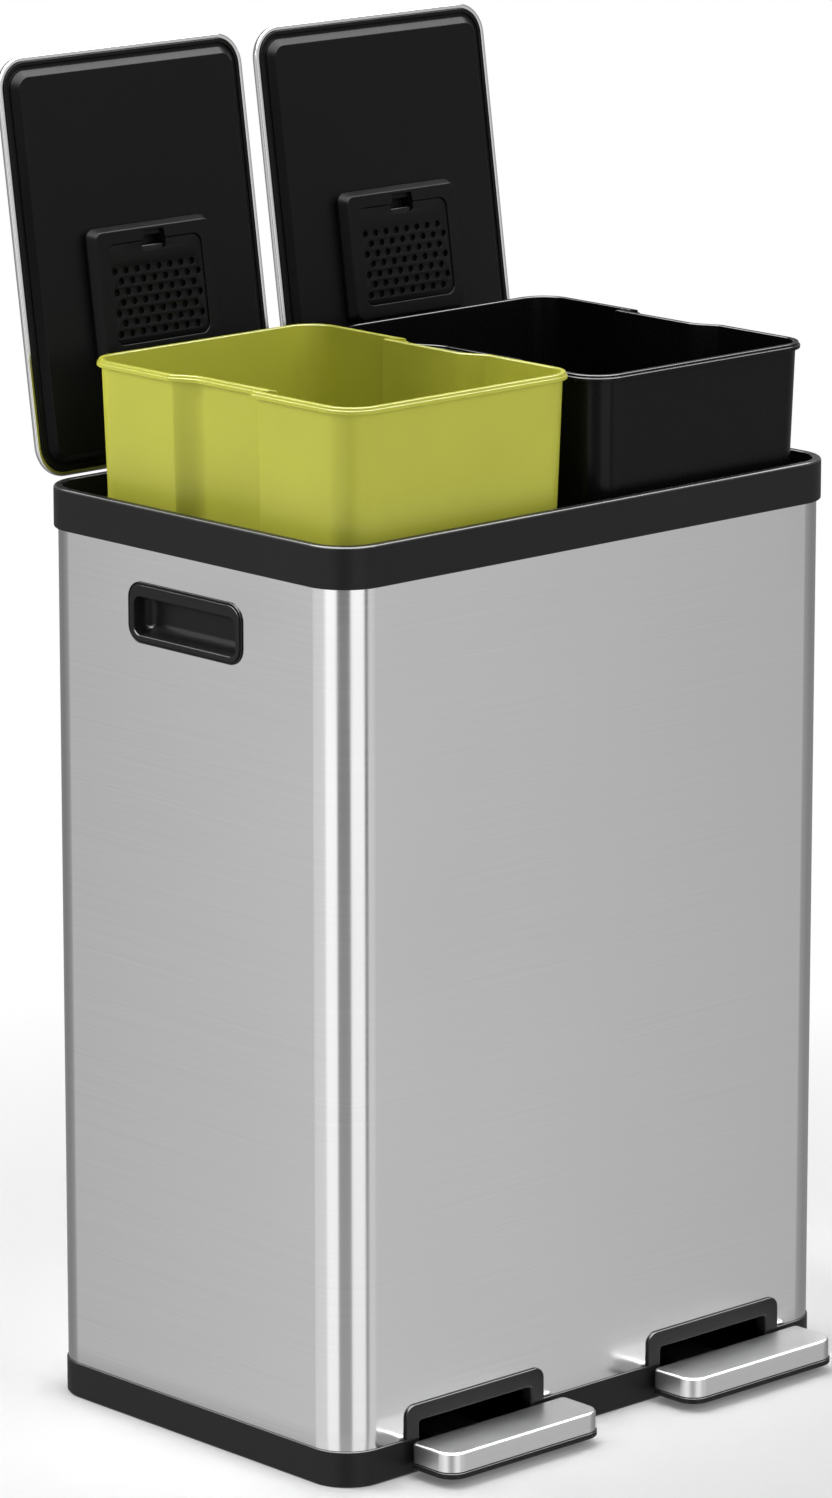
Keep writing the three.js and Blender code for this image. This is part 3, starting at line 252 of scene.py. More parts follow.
def smooth(mesh):
    mesh.shade_smooth()
    mesh.set_sharp_from_angle(angle=SMOOTH_ANGLE)


def flat_stays_flat(obj):
    """Shades by face area, so that a wide flat face beside a rounded edge still looks flat."""
    modifier = obj.modifiers.new("even_shading", "WEIGHTED_NORMAL")
    modifier.keep_sharp = True
    modifier.weight = 60
    return obj


def lofted(name, rings, ring_shaped=False):
    """A surface through rings of equally many points: four-sided faces between each ring and the next.

    The first and last rings are filled, or joined to each other where the section goes all the way round.
    """
    rings = np.asarray(rings)
    layers, count = rings.shape[:2]
    joins = layers if ring_shaped else layers - 1
    row, column = np.meshgrid(np.arange(joins), np.arange(count), indexing="ij")
    after, following = (row + 1) % layers, (column + 1) % count
    faces = quads_between(row, column, after, following, count).tolist()
    if not ring_shaped:
        faces.append(np.arange(count)[::-1].tolist())
        faces.append(((layers - 1) * count + np.arange(count)).tolist())
    return make(name, rings, faces)


def revolved_rect(name, place, size, section, middle=(0, 0), ring_shaped=False, **options):
    """A section carried round a rounded rectangle of a width, depth and corner radius."""
    offsets, heights = section
    flat = rounded_rings(*size, offsets, **options)
    points = place(flat[..., 0] + middle[0], flat[..., 1] + middle[1], heights[:, None])
    return lofted(name, points, ring_shaped)


def block(low, high):
    """The eight corners and six faces of a cutting box, which never shows."""
    (x0, y0, z0), (x1, y1, z1) = low, high
    corners = [(x, y, z) for z in (z0, z1) for x, y in ((x0, y0), (x1, y0), (x1, y1), (x0, y1))]
    faces = [(3, 2, 1, 0), (4, 5, 6, 7), (0, 1, 5, 4), (1, 2, 6, 5), (2, 3, 7, 6), (3, 0, 4, 7)]
    return corners, faces


def cut(obj, *boxes):
    """Takes boxes away from a piece."""
    for low, high in boxes:
        corners, faces = block(low, high)
        cutter = make("cutter", corners, faces)
        modifier = obj.modifiers.new("cut", "BOOLEAN")
        modifier.operation, modifier.solver, modifier.object = "DIFFERENCE", "EXACT", cutter
        result = baked(obj)
        obj.modifiers.clear()
        obj.data = result
        bpy.data.objects.remove(cutter)
    smooth(obj.data)
    return obj


def bevelled(obj, width):
    modifier = obj.modifiers.new("soft_edges", "BEVEL")
    modifier.width, modifier.segments = width * MM, 2
    modifier.limit_method, modifier.angle_limit = "ANGLE", math.radians(35)
    modifier.use_clamp_overlap = True
    modifier.harden_normals = False


def show(obj, nodes, slot, body=None):
    """Puts a piece in its CAD nodes' place, on their body, with the finish of its slot."""
    nodes = [nodes] if isinstance(nodes, str) else nodes
    obj.data.materials.clear()
    obj.data.materials.append(FINISHES[slot])
    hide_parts(*nodes)
    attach(obj, body or frame["nodes"][nodes[0]]["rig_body"])
    return obj


# ---------------------------------------------------------------- finishes


def srgb(red, green, blue):
    """A colour as it looks, 0 to 255, in the scene's own values."""
    value = np.array([red, green, blue]) / 255
    linear = np.where(value <= 0.04045, value / 12.92, ((value + 0.055) / 1.055) ** 2.4)
    return (*linear.tolist(), 1.0)


class Nodes:
    """A node tree that is filled in a few words."""

    def __init__(self, tree):
        self.tree = tree

    def add(self, kind, inputs=None, **settings):
        node = self.tree.nodes.new(kind)
        for key, value in settings.items():
            setattr(node, key, value)
        for key, value in (inputs or {}).items():
            if isinstance(value, bpy.types.NodeSocket):
                self.tree.links.new(value, node.inputs[key])
            else:
                node.inputs[key].default_value = value
        return node

    def math(self, operation, *values):
        return self.add("ShaderNodeMath", dict(enumerate(values)), operation=operation).outputs[0]

    def halves(self, first, second):
        """The mean of two values."""
        return self.math("ADD", self.math("MULTIPLY", first, 0.5), self.math("MULTIPLY", second, 0.5))

    def noise(self, where, scale, **inputs):
        return self.add("ShaderNodeTexNoise", {"Vector": where, "Scale": scale, **inputs}).outputs[0]

    def shaded(self, color, shade):
        """A colour made lighter or darker by a value."""
        return self.add("ShaderNodeVectorMath", {0: color, "Scale": shade}, operation="SCALE").outputs[0]

    def plain(self, kind, level, strength=None):
        """A grey of one level, painted or glowing."""
        inputs = {"Color": (level, level, level, 1)}
        if strength is not None:
            inputs["Strength"] = strength
        return self.add(kind, inputs).outputs[0]

    def spread(self, value, low, high, from_low=0.0, from_high=1.0):
        """A value moved from one range to another."""
        inputs = {"Value": value, "From Min": from_low, "From Max": from_high, "To Min": low, "To Max": high}
        return self.add("ShaderNodeMapRange", inputs).outputs["Result"]


def emptied(owner):
    """The node tree of a material or a world, with nothing in it yet."""
    owner.use_nodes = True
    owner.node_tree.nodes.clear()
    return Nodes(owner.node_tree)


def effect(name, inputs, build):
    """A node group with the given inputs that puts out a Color, a Roughness and a Height."""
    group = bpy.data.node_groups.new(name, "ShaderNodeTree")
    for label, kind, value in inputs:
        socket = group.interface.new_socket(name=label, in_out="INPUT", socket_type=kind)
        socket.default_value = value
    for label in ("Color", "Roughness", "Height"):
        kind = "NodeSocketColor" if label == "Color" else "NodeSocketFloat"
        group.interface.new_socket(name=label, in_out="OUTPUT", socket_type=kind)
    nodes = Nodes(group)
    given = nodes.add("NodeGroupInput")
    color, roughness, height = build(nodes, given.outputs)
    out = nodes.add("NodeGroupOutput")
    for socket, value in zip(out.inputs, (color, roughness, height)):
        group.links.new(value, socket)
    return group


def wandering(nodes, roughness, value):
    """A roughness that wanders about the given one with a value."""
    low = nodes.math("SUBTRACT", roughness, ROUGHNESS_CHANGE)
    high = nodes.math("ADD", roughness, ROUGHNESS_CHANGE)
    return nodes.spread(value, low, high, 0.35, 0.65)


def brushed(nodes, given):
    """Long fine scratches one way, with a few broader ones among them, and faint cloudy patches."""
    where = nodes.add("ShaderNodeTexCoord").outputs["Object"]
    scaling = {0: where, 1: given["Stretch"]}
    stretched = nodes.add("ShaderNodeVectorMath", scaling, operation="MULTIPLY").outputs[0]
    fine = nodes.noise(stretched, 1.0, Detail=4.0, Roughness=0.65)
    broad = nodes.noise(stretched, 0.23, Detail=2.0)
    cloud = nodes.noise(where, 5.0, Detail=2.0)
    scratches = nodes.add("ShaderNodeMix", {"Factor": 0.15, "A": fine, "B": broad}).outputs["Result"]
    color = nodes.shaded(given["Color"], nodes.spread(scratches, 0.96, 1.04, 0.3, 0.7))
    return color, wandering(nodes, given["Roughness"], nodes.halves(scratches, cloud)), scratches


def moulded(nodes, given):
    """The fine even grain of moulded plastic, with a faint change of sheen from place to place."""
    where = nodes.add("ShaderNodeTexCoord").outputs["Object"]
    grain = nodes.noise(where, given["Grain"], Detail=2.0, Roughness=0.55)
    cloud = nodes.noise(where, 9.0, Detail=3.0)
    color = nodes.shaded(given["Color"], nodes.spread(cloud, 0.95, 1.05, 0.3, 0.7))
    return color, wandering(nodes, given["Roughness"], nodes.halves(grain, cloud)), grain


def felted(nodes, given):
    """Matted fibres: stretched noise crossed with small cells."""
    where = nodes.add("ShaderNodeTexCoord").outputs["Object"]
    fibres = nodes.noise(where, given["Grain"], Detail=6.0, Distortion=2.0)
    cells = nodes.add("ShaderNodeTexVoronoi", {"Vector": where, "Scale": given["Grain"]})
    mixed = nodes.math("MULTIPLY", fibres, nodes.math("ADD", cells.outputs["Distance"], 0.4))
    color = nodes.shaded(given["Color"], nodes.spread(mixed, 0.5, 1.6, 0.1, 0.7))
    return color, nodes.spread(mixed, given["Roughness"], 1.0, 0.0, 1.0), mixed


ROUGHNESS_CHANGE = 0.05
STEEL_INPUTS = [
    ("Color", "NodeSocketColor", (0.6, 0.6, 0.6, 1)),
    ("Roughness", "NodeSocketFloat", 0.26),
    ("Stretch", "NodeSocketVector", (6.0, 6.0, 2600.0)),
]
GRAIN_INPUTS = [
    ("Color", "NodeSocketColor", (0.02, 0.02, 0.02, 1)),
    ("Roughness", "NodeSocketFloat", 0.45),
    ("Grain", "NodeSocketFloat", 900.0),
]
BRUSHED = effect("brushed_grain", STEEL_INPUTS, brushed)
MOULDED = effect("moulded_grain", GRAIN_INPUTS, moulded)
FELTED = effect("felt_fibres", GRAIN_INPUTS, felted)


def polished_edges():
    """A mask of the rounded upper edges, where the surface tilts up but isn't level."""
    group = bpy.data.node_groups.new("polished_edges", "ShaderNodeTree")
    group.interface.new_socket(name="Mask", in_out="OUTPUT", socket_type="NodeSocketFloat")
    nodes = Nodes(group)
    normal = nodes.add("ShaderNodeNewGeometry").outputs["Normal"]
    upward = nodes.add("ShaderNodeSeparateXYZ", {0: normal}).outputs["Z"]
    tilted = nodes.spread(upward, 0.0, 1.0, 0.15, 0.35)
    not_level = nodes.spread(upward, 1.0, 0.0, 0.95, 0.99)
    nodes.add("NodeGroupOutput", {0: nodes.math("MULTIPLY", tilted, not_level)})
    return group


POLISHED = polished_edges()
COAT_ROUGHNESS = 0.15


def material(name, group, color, roughness, bump, metallic=0.0, specular=0.5, polished=True, **extra):
    """A finish: one of the effects above feeding a shader's colour, roughness and bump.

    The bump is a strength and a depth in millimetres. A polished plastic has a clear sheen on its edges.
    """
    made = bpy.data.materials.new(name)
    nodes = emptied(made)
    grain = nodes.add("ShaderNodeGroup", node_tree=group)
    grain.inputs["Color"].default_value = color
    grain.inputs["Roughness"].default_value = roughness
    for label, value in extra.items():
        grain.inputs[label].default_value = value
    height, (strength, distance) = grain.outputs["Height"], bump
    relief = nodes.add("ShaderNodeBump", {"Height": height, "Strength": strength, "Distance": distance * MM})
    shader = nodes.add(
        "ShaderNodeBsdfPrincipled",
        {
            "Base Color": grain.outputs["Color"],
            "Roughness": grain.outputs["Roughness"],
            "Normal": relief.outputs[0],
            "Metallic": metallic,
            "Specular IOR Level": specular,
        },
    )
    if polished and not metallic:
        edges = nodes.add("ShaderNodeGroup", node_tree=POLISHED)
        made.node_tree.links.new(edges.outputs["Mask"], shader.inputs["Coat Weight"])
        shader.inputs["Coat Roughness"].default_value = COAT_ROUGHNESS
    nodes.add("ShaderNodeOutputMaterial", {"Surface": shader.outputs[0]})
    return made


STEEL_COLOR, PLAIN_STEEL_COLOR = (0.65, 0.65, 0.652, 1.0), (0.50, 0.51, 0.52, 1.0)
STEEL_BUMP, PLASTIC_BUMP, SMOOTH_BUMP = (0.10, 0.05), (0.12, 0.06), (0.08, 0.05)
FELT_BUMP, RUBBER_BUMP = (0.5, 0.4), (0.2, 0.08)


def steel(name, roughness, stretch, color=STEEL_COLOR):
    """Brushed steel. Its scratches run along the axes that are stretched least."""
    return material(name, BRUSHED, color, roughness, STEEL_BUMP, metallic=1.0, Stretch=stretch)


def plastic(name, color, roughness, bump, specular, **extra):
    return material(name, MOULDED, srgb(*color), roughness, bump, specular=specular, **extra)


FINISHES = {
    "body_steel": steel("brushed_steel_body", 0.17, (6.0, 6.0, 2400.0)),
    "lid_steel": steel("brushed_steel_lids", 0.18, (6.0, 2400.0, 2400.0)),
    "pedal_steel": steel("brushed_steel_pedals", 0.34, (8.0, 2400.0, 2400.0)),
    "plain_steel": steel("plain_steel", 0.34, (300.0, 300.0, 300.0), PLAIN_STEEL_COLOR),
    "black_plastic": plastic("black_plastic", (24, 24, 25), 0.40, PLASTIC_BUMP, 0.18),
    "liner_plastic": plastic("liner_plastic", (13, 13, 14), 0.37, PLASTIC_BUMP, 0.12, polished=False),
    "green_plastic": plastic("green_plastic", (186, 187, 68), 0.33, SMOOTH_BUMP, 0.30),
    "bucket_black": plastic("bucket_black", (12, 12, 13), 0.26, SMOOTH_BUMP, 0.13),
    "filter_felt": material("filter_felt", FELTED, srgb(9, 9, 9), 0.9, FELT_BUMP, specular=0.1, Grain=1600.0),
    "rubber": plastic("foot_rubber", (30, 30, 30), 0.8, RUBBER_BUMP, 0.25, Grain=700.0),
}


# ---------------------------------------------------------------- body


def body_shell():
    """One sheet wrapped round the body: a grid whose columns walk the outline and whose rows rise.

    The grid has lines along each opening's edges, and the faces between those lines are left out. A shallow
    groove runs up the middle of the rear, where the sheet's ends meet.
    """
    cos, sin, corner_x, corner_y = quarter_turns(CORNER_STEPS)
    half_x, half_y = BODY_WIDTH / 2, BODY_DEPTH / 2
    x = corner_x * (half_x - BODY_CORNER) + BODY_CORNER * cos
    y = corner_y * (half_y - BODY_CORNER) + BODY_CORNER * sin
    last = CORNER_STEPS + 1
    rear = np.array([SEAM_HALF, 0.25, 0.0, -0.25, -SEAM_HALF])
    rear_y = half_y - np.array([0, SEAM_DEPTH, SEAM_DEPTH, SEAM_DEPTH, 0])
    cup = HANDLE_Y + np.array([CUP_HOLE_HALF_Y, -CUP_HOLE_HALF_Y])
    doors = np.sort(np.array([[at - DOOR_HALF, at + DOOR_HALF] for at in LINE_X.values()]).ravel())
    x1, x2, x3, x4 = x.reshape(4, last)
    y1, y2, y3, y4 = y.reshape(4, last)
    x = np.concatenate([x1, rear, x2, [-half_x] * 2, x3, doors, x4, [half_x] * 2])
    y = np.concatenate([y1, rear_y, y2, cup, y3, [-half_y] * 4, y4, cup[::-1]])
    cup_low, cup_high = HANDLE_Z - CUP_HOLE_HALF_Z, HANDLE_Z + CUP_HOLE_HALF_Z
    z = np.array([SHELL_BOTTOM, DOOR_TOP, cup_low, cup_high, SHELL_TOP])
    count = len(x)
    points = on_body(x[None, :], y[None, :], z[:, None])
    row, column = np.meshgrid(np.arange(len(z) - 1), np.arange(count), indexing="ij")
    row, column = row.ravel(), column.ravel()
    following = (column + 1) % count
    middle_x, middle_y = (x[column] + x[following]) / 2, (y[column] + y[following]) / 2
    door_row, cup_row, on_wall = 0, 2, 0.1
    at_side = (row == cup_row) & (np.abs(middle_x) > half_x - on_wall)
    in_cup = at_side & (np.abs(middle_y - HANDLE_Y) < CUP_HOLE_HALF_Y)
    at_front = (row == door_row) & (middle_y < on_wall - half_y)
    in_door = at_front & np.any([np.abs(middle_x - at) < DOOR_HALF for at in LINE_X.values()], 0)
    quads = quads_between(row, column, row + 1, following, count)[~(in_cup | in_door)]
    shell = make("steel_body_shell", points, quads.tolist())
    wall = shell.modifiers.new("sheet", "SOLIDIFY")
    wall.thickness, wall.offset, wall.use_even_offset = SHELL_SHEET * MM, -1, True
    return flat_stays_flat(shell)


def top_rim():
    section = ring_section(
        [
            (0.3, 608),
            (3, 608, 1.2),
            (3, RIM_TOP, 2.0),
            (-3.2, RIM_TOP, 1.0),
            (-3.2, 600, 0.5),
            (-1.5, 600, 0.3),
            (-1.5, 633.5),
            (0.3, 633.5),
        ]
    )
    rim = revolved_rect("top_rim_ring", on_body, BODY_SIZE, section, ring_shaped=True)
    half, (near, far) = RIM_NOTCH_HALF, RIM_NOTCH_Y
    notches = [((x - half, near, 598), (x + half, far, 638)) for x in LINE_X.values()]
    return flat_stays_flat(cut(rim, *notches))


def base_band():
    """The band at the floor, a skin over the tray."""
    section = ring_section([(-1.5, 0.0), (-0.2, 0.0, 0.4), (1, 1.5, 0.8), (1, 25, 0.9), (-1.5, 25)])
    band = revolved_rect("base_band", on_body, BODY_SIZE, section, ring_shaped=True)
    slots = [((x - BAND_SLOT_HALF, -155, 6), (x + BAND_SLOT_HALF, -140, 27)) for x in LINE_X.values()]
    return flat_stays_flat(cut(band, *slots))


def handle_cup(hand):
    """A cup let into the side: a border with a fine groove round a scooped hollow.

    The hollow's wall curves into its floor. Inside the border the outline is squeezed in height and drops,
    so that the border is widest at the top, where the fingers reach up behind it.
    """
    corners = [
        (-9, HANDLE_BACK),
        (1.5 - HANDLE_BORDER, HANDLE_BACK, 2),
        (1.5 - HANDLE_BORDER, 0.3, 0.3),
        (0, 0.3),
        (0, 1.1, 0.3),
        (-0.8, 1.1, 0.2),
        (-0.8, 0.4),
        (-1.6, 0.4),
        (-1.9, 1.7, 0.6),
        (-HANDLE_BORDER, 1.7, 1.3),
        (-0.8 - HANDLE_BORDER, HANDLE_FLOOR, 8),
        (-17, HANDLE_FLOOR),
    ]
    offsets, out = filleted(corners, 7)
    flat = rounded_rings(HANDLE_LENGTH, HANDLE_HEIGHT, HANDLE_CORNER, offsets, least=2.5)
    seen = np.arange(len(out)) > np.argmax(out)
    share = np.where(seen, np.clip(-offsets / HANDLE_BORDER, 0, 1), 0)[:, None]
    up = flat[..., 1] * (1 - GRIP_SQUEEZE * share) - GRIP_DROP * share
    rings = on_side(SIDES[hand])(flat[..., 0], up, out[:, None])
    return flat_stays_flat(lofted(f"handle_cup_{hand}_moulding", rings))


def pedal_frame(hand):
    """A doorway moulding: its section is carried up one side, over the top and down the other.

    Each point of the path is a corner centre plus a reach along its direction. The reach is the corner's
    radius less the section's inset, and no less than the inner corner's radius.
    """
    inner, collar = FRAME_BORDER, FRAME_BORDER - FRAME_COLLAR
    insets, out = ring_section(
        [(0, 0.3), (0, 1.9, 0.9), (inner, 1.9, 1.5), (inner, -7, 0.5), (collar, -7, 0.5), (collar, 0.3)]
    )
    turn = np.linspace(0, math.pi / 2, CORNER_STEPS // 2 + 1)
    cos = np.concatenate([np.cos(turn), -np.sin(turn)])
    sin = np.concatenate([np.sin(turn), np.cos(turn)])
    side = np.repeat([1, -1], len(turn))
    insets = insets[:, None]
    reach = np.maximum(FRAME_CORNER - insets, 2.5)
    x = side * (FRAME_WIDTH / 2 - insets - reach) + reach * cos
    z = FRAME_TOP - insets - reach + reach * sin
    x = np.concatenate([x[:, :1], x, x[:, -1:]], 1) + LINE_X[hand]
    foot = np.full_like(insets, SHELL_BOTTOM)
    z = np.concatenate([foot, z, foot], 1)
    rings = on_body(x, -BODY_DEPTH / 2 - out[:, None], z)
    layers, count = rings.shape[:2]
    row, column = np.meshgrid(np.arange(layers), np.arange(count - 1), indexing="ij")
    quads = quads_between(row, column, (row + 1) % layers, column + 1, count)
    ends = [(np.arange(layers) * count).tolist(), (np.arange(layers)[::-1] * count + count - 1).tolist()]
    return flat_stays_flat(make(f"pedal_frame_{hand}_moulding", rings, quads.tolist() + ends))


def base_tray():
    """The tray inside the band. Its outer skin is drawn in a little so that the band covers it."""
    tray = dressed("base_tray", "base_tray_inside", bevel=0)
    points = points_of(tray.data)
    skin, drawn_in, lifted, low = 0.9 * MM, 0.6 * MM, 0.4 * MM, 2 * MM
    side_x = np.maximum(np.abs(points[:, 0]) - (BODY_WIDTH / 2 - BODY_CORNER) * MM, 0)
    side_y = np.maximum(np.abs(points[:, 1]) - (BODY_DEPTH / 2 - BODY_CORNER) * MM, 0)
    reach = np.hypot(side_x, side_y)
    outer = reach > BODY_CORNER * MM - skin
    drawn = np.where(outer, (BODY_CORNER * MM - drawn_in) / np.maximum(reach, 1e-9), 1)
    points[:, 0] = np.sign(points[:, 0]) * (np.abs(points[:, 0]) - side_x * (1 - drawn))
    points[:, 1] = np.sign(points[:, 1]) * (np.abs(points[:, 1]) - side_y * (1 - drawn))
    points[:, 2] = np.where(outer & (points[:, 2] < low), np.maximum(points[:, 2], lifted), points[:, 2])
    tray.data.vertices.foreach_set("co", points.ravel())
    return tray


# ---------------------------------------------------------------- pedals


def pedal_ring(section, hand, name):
    size = (PEDAL_WIDTH, PEDAL_REACH, PEDAL_CORNER)
    middle = (LINE_X[hand] + PEDAL_OFFSET, PEDAL_Y)
    return revolved_rect(name, on_body, size, section, middle, back_radius=PEDAL_BACK_CORNER, least=1.0)


def pedal_cap(hand):
    """A pressed steel cap with a rolled top edge, open underneath and notched for the lever."""
    section = filleted(
        [(-5, 24), (0, 24, 1.9), (0, 10.3, 0.4), (-1.2, 10.3, 0.4), (-1.2, 22.8, 1.0), (-5, 22.8)]
    )
    cap = pedal_ring(section, hand, f"pedal_cap_{hand}_pressing")
    x = LINE_X[hand]
    notch = ((x - LEVER_HALF - 0.6, -156.0, 8), (x + LEVER_HALF + 0.6, -152, 15.1))
    return flat_stays_flat(cut(cap, notch))


def pedal_tread(hand):
    """The tread's base: a rim one millimetre proud of the cap, and the core that fills the cap."""
    section = filleted([(-4, 6), (1, 6, 1.0), (1, 10, 0.6), (-1.5, 10, 0.3), (-1.5, 22.5, 0.6), (-5, 22.5)])
    tread = pedal_ring(section, hand, f"pedal_tread_{hand}_moulding")
    x = LINE_X[hand]
    slot = ((x - LEVER_HALF - 0.3, -189.8, 11.2), (x + LEVER_HALF + 0.3, -150, 14.8))
    return flat_stays_flat(cut(tread, slot))


# ---------------------------------------------------------------- lids


def lid_piece(name, hand, section):
    size = (LID_WIDTH, LID_LENGTH, LID_CORNER)
    middle = (0, LID_SETBACK + LID_LENGTH / 2)
    return revolved_rect(name, on_lid(LID_X[hand]), size, section, middle, least=2.0)


def lid_skin(hand):
    """A pressed steel skin with a rounded top edge, turned under in a narrow hem."""
    section = filleted(
        [(-8, 13.9), (0, 13.9, 2.4), (0, 8.9, 1.1), (-3.2, 8.9, 0.7), (-3.2, 13.1), (-8, 13.1)]
    )
    return flat_stays_flat(lid_piece(f"lid_skin_{hand}_pressing", hand, section))


def lid_liner(hand):
    """The liner: an edge strip, a groove, and a bevel up to the flat panel."""
    section = filleted(
        [
            (-22, 3.9),
            (-13.8, 3.9, 1.2),
            (-9.1, 8.3, 0.6),
            (-8.9, 9.8, 0.5),
            (-6.5, 9.8, 0.5),
            (-6.3, 8.3, 0.5),
            (-3.5, 8.3, 0.5),
            (-3.5, 12.8),
            (-22, 12.8),
        ]
    )
    return flat_stays_flat(lid_piece(f"lid_liner_{hand}_moulding", hand, section))


def filter_piece(name, hand, section, ring_shaped=False, notch=None):
    """A piece of the filter housing. Its corners keep most of their radius as it narrows.

    A thumb notch, given as half its width and its depth, steps the inner edge forward in the middle.
    """
    offsets, heights = section
    steps = 8
    cos, sin, corner_x, corner_y = quarter_turns(steps)
    inset = -offsets[:, None]
    radius = np.maximum(HOUSING_CORNER - inset / 2, 2.0)
    innermost = inset > 11
    radius = np.where(innermost, 7.3, radius)
    x = corner_x * (HOUSING_WIDTH / 2 - inset - radius) + radius * cos
    forward = HOUSING_MIDDLE + corner_y * (HOUSING_LENGTH / 2 - inset - radius) + radius * sin
    if notch:
        half, depth = notch
        turn = np.linspace(0, math.pi, 7)
        step_x = np.concatenate([half + 0.6 * np.cos(turn), -half + 0.6 * np.cos(turn)])
        rise = np.concatenate([1 - np.cos(turn), 1 + np.cos(turn)]) / 2 * depth
        stepped = forward[:, steps : steps + 1] + np.where(innermost, rise, 0)
        x = np.insert(x, steps + 1, np.broadcast_to(step_x, stepped.shape).T, axis=1)
        forward = np.insert(forward, steps + 1, stepped.T, axis=1)
    return lofted(name, on_lid(LID_X[hand])(x, forward, heights[:, None]), ring_shaped)


def filter_frame(hand):
    section = ring_section(
        [(-15, 3.6), (0, 3.6), (0, 0.6, 1.2), (-3, -6.4, 1.4), (-12, -6.4, 0.7), (-12, -3.2), (-15, -3.2)]
    )
    name = f"filter_frame_{hand}_moulding"
    return flat_stays_flat(filter_piece(name, hand, section, ring_shaped=True, notch=(9.5, 6.5)))


def filter_cover(hand):
    """A flat plate with a thumb notch and staggered round holes, all with softly rounded edges."""
    half_x, half_y, corner = 41.7, 33.7, 7.0
    notch_half, notch_depth, notch_corner = 10.5, 6.5, 2.5
    quarter = np.linspace(0, math.pi / 2, 9)

    def arc(x, y, radius, start, turn=1):
        angle = start * math.pi / 2 + turn * quarter
        return np.stack([x + radius * np.cos(angle), y + radius * np.sin(angle)], 1)

    edge = np.concatenate(
        [
            arc(half_x - corner, half_y - corner, corner, 0),
            arc(notch_half + 1.5, half_y - 1.5, 1.5, 1),
            arc(notch_half - notch_corner, half_y - notch_depth + notch_corner, notch_corner, 0, -1),
            arc(notch_corner - notch_half, half_y - notch_depth + notch_corner, notch_corner, 3, -1),
            arc(-notch_half - 1.5, half_y - 1.5, 1.5, 0),
            arc(corner - half_x, half_y - corner, corner, 1),
            arc(corner - half_x, corner - half_y, corner, 2),
            arc(half_x - corner, corner - half_y, corner, 3),
        ]
    )
    around = -np.linspace(0, 2 * math.pi, 16, endpoint=False)
    row, column = np.divmod(np.arange(HOLE_ROWS * HOLE_COLUMNS), HOLE_COLUMNS)
    hole_x = (column - (HOLE_COLUMNS - 1) / 2) * HOLE_PITCH_X + np.where(row % 2, 1, -1) * HOLE_PITCH_X / 4
    hole_y = row * HOLE_PITCH_Y - HOLE_ROW_START
    holes = np.stack(
        [hole_x[:, None] + HOLE_RADIUS * np.cos(around), hole_y[:, None] + HOLE_RADIUS * np.sin(around)], -1
    )
    curve = bpy.data.curves.new("perforated_outline", "CURVE")
    curve.dimensions, curve.fill_mode = "2D", "BOTH"
    round_edge = 0.35
    curve.extrude = COVER_SHEET / 2 - round_edge
    curve.bevel_depth, curve.bevel_resolution, curve.offset = round_edge, 1, -round_edge
    for outline in [edge, *holes]:
        spline = curve.splines.new("POLY")
        spline.points.add(len(outline) - 1)
        flat = np.zeros((len(outline), 4))
        flat[:, :2], flat[:, 3] = outline, 1
        spline.points.foreach_set("co", flat.ravel())
        spline.use_cyclic_u = True
    source = linked("perforated_outline", curve)
    mesh = baked(source)
    bpy.data.objects.remove(source)
    across, forward, height = points_of(mesh).T
    height = COVER_FACE + COVER_SHEET / 2 + height
    placed = on_lid(LID_X[hand])(across, HOUSING_MIDDLE + forward, height)
    mesh.vertices.foreach_set("co", (placed * MM).ravel())
    mesh.name = f"filter_cover_{hand}_plate"
    return finished(f"filter_cover_{hand}_plate", mesh)


def carbon_filter(hand):
    section = filleted([(-22, -3.2), (-15.3, -3.2, 0.8), (-15.3, 1.8, 0.8), (-22, 1.8)])
    return filter_piece(f"carbon_filter_{hand}_pad", hand, section)


# ---------------------------------------------------------------- buckets


def bucket_outline(inset, drawn_in):
    """A bucket's outline, set in from its rim and drawn in by the draft.

    The right half runs from the front corner through a curve, quick at first, into the recess, which steps
    back out towards the rear along a slanted edge. The left half is the right one turned half round.
    """
    inset, drawn_in = inset[:, None], drawn_in[:, None]
    half_x = BUCKET_WIDTH / 2 - inset - drawn_in
    half_y = BUCKET_DEPTH / 2 - inset - drawn_in
    corner = BUCKET_CORNER - inset
    quarter = np.linspace(0, math.pi / 2, CORNER_STEPS + 1)[None]
    small = np.linspace(0, math.pi / 2, 6)[None]
    share = np.linspace(0, 1, 19)[None] ** 1.2
    ease = 1 - (1 - share**1.35) ** 2.2
    step = RECESS_STEP + inset
    soft = 1.6
    x = np.concatenate(
        [
            half_x - corner + corner * np.sin(quarter),
            half_x - RECESS_DEPTH * ease,
            half_x - RECESS_DEPTH + soft - soft * np.cos(small),
            half_x - soft + soft * np.sin(small),
            half_x - corner + corner * np.cos(quarter),
        ],
        1,
    )
    y = np.concatenate(
        [
            corner - half_y - corner * np.cos(quarter),
            RECESS_CURVE[0] + (RECESS_CURVE[1] - RECESS_CURVE[0]) * share + 0 * inset,
            step - soft + soft * np.sin(small) + RECESS_SLANT,
            step + soft - soft * np.cos(small) - RECESS_SLANT,
            half_y - corner + corner * np.sin(quarter),
        ],
        1,
    )
    return np.concatenate([x, -x], 1), np.concatenate([y, -y], 1)


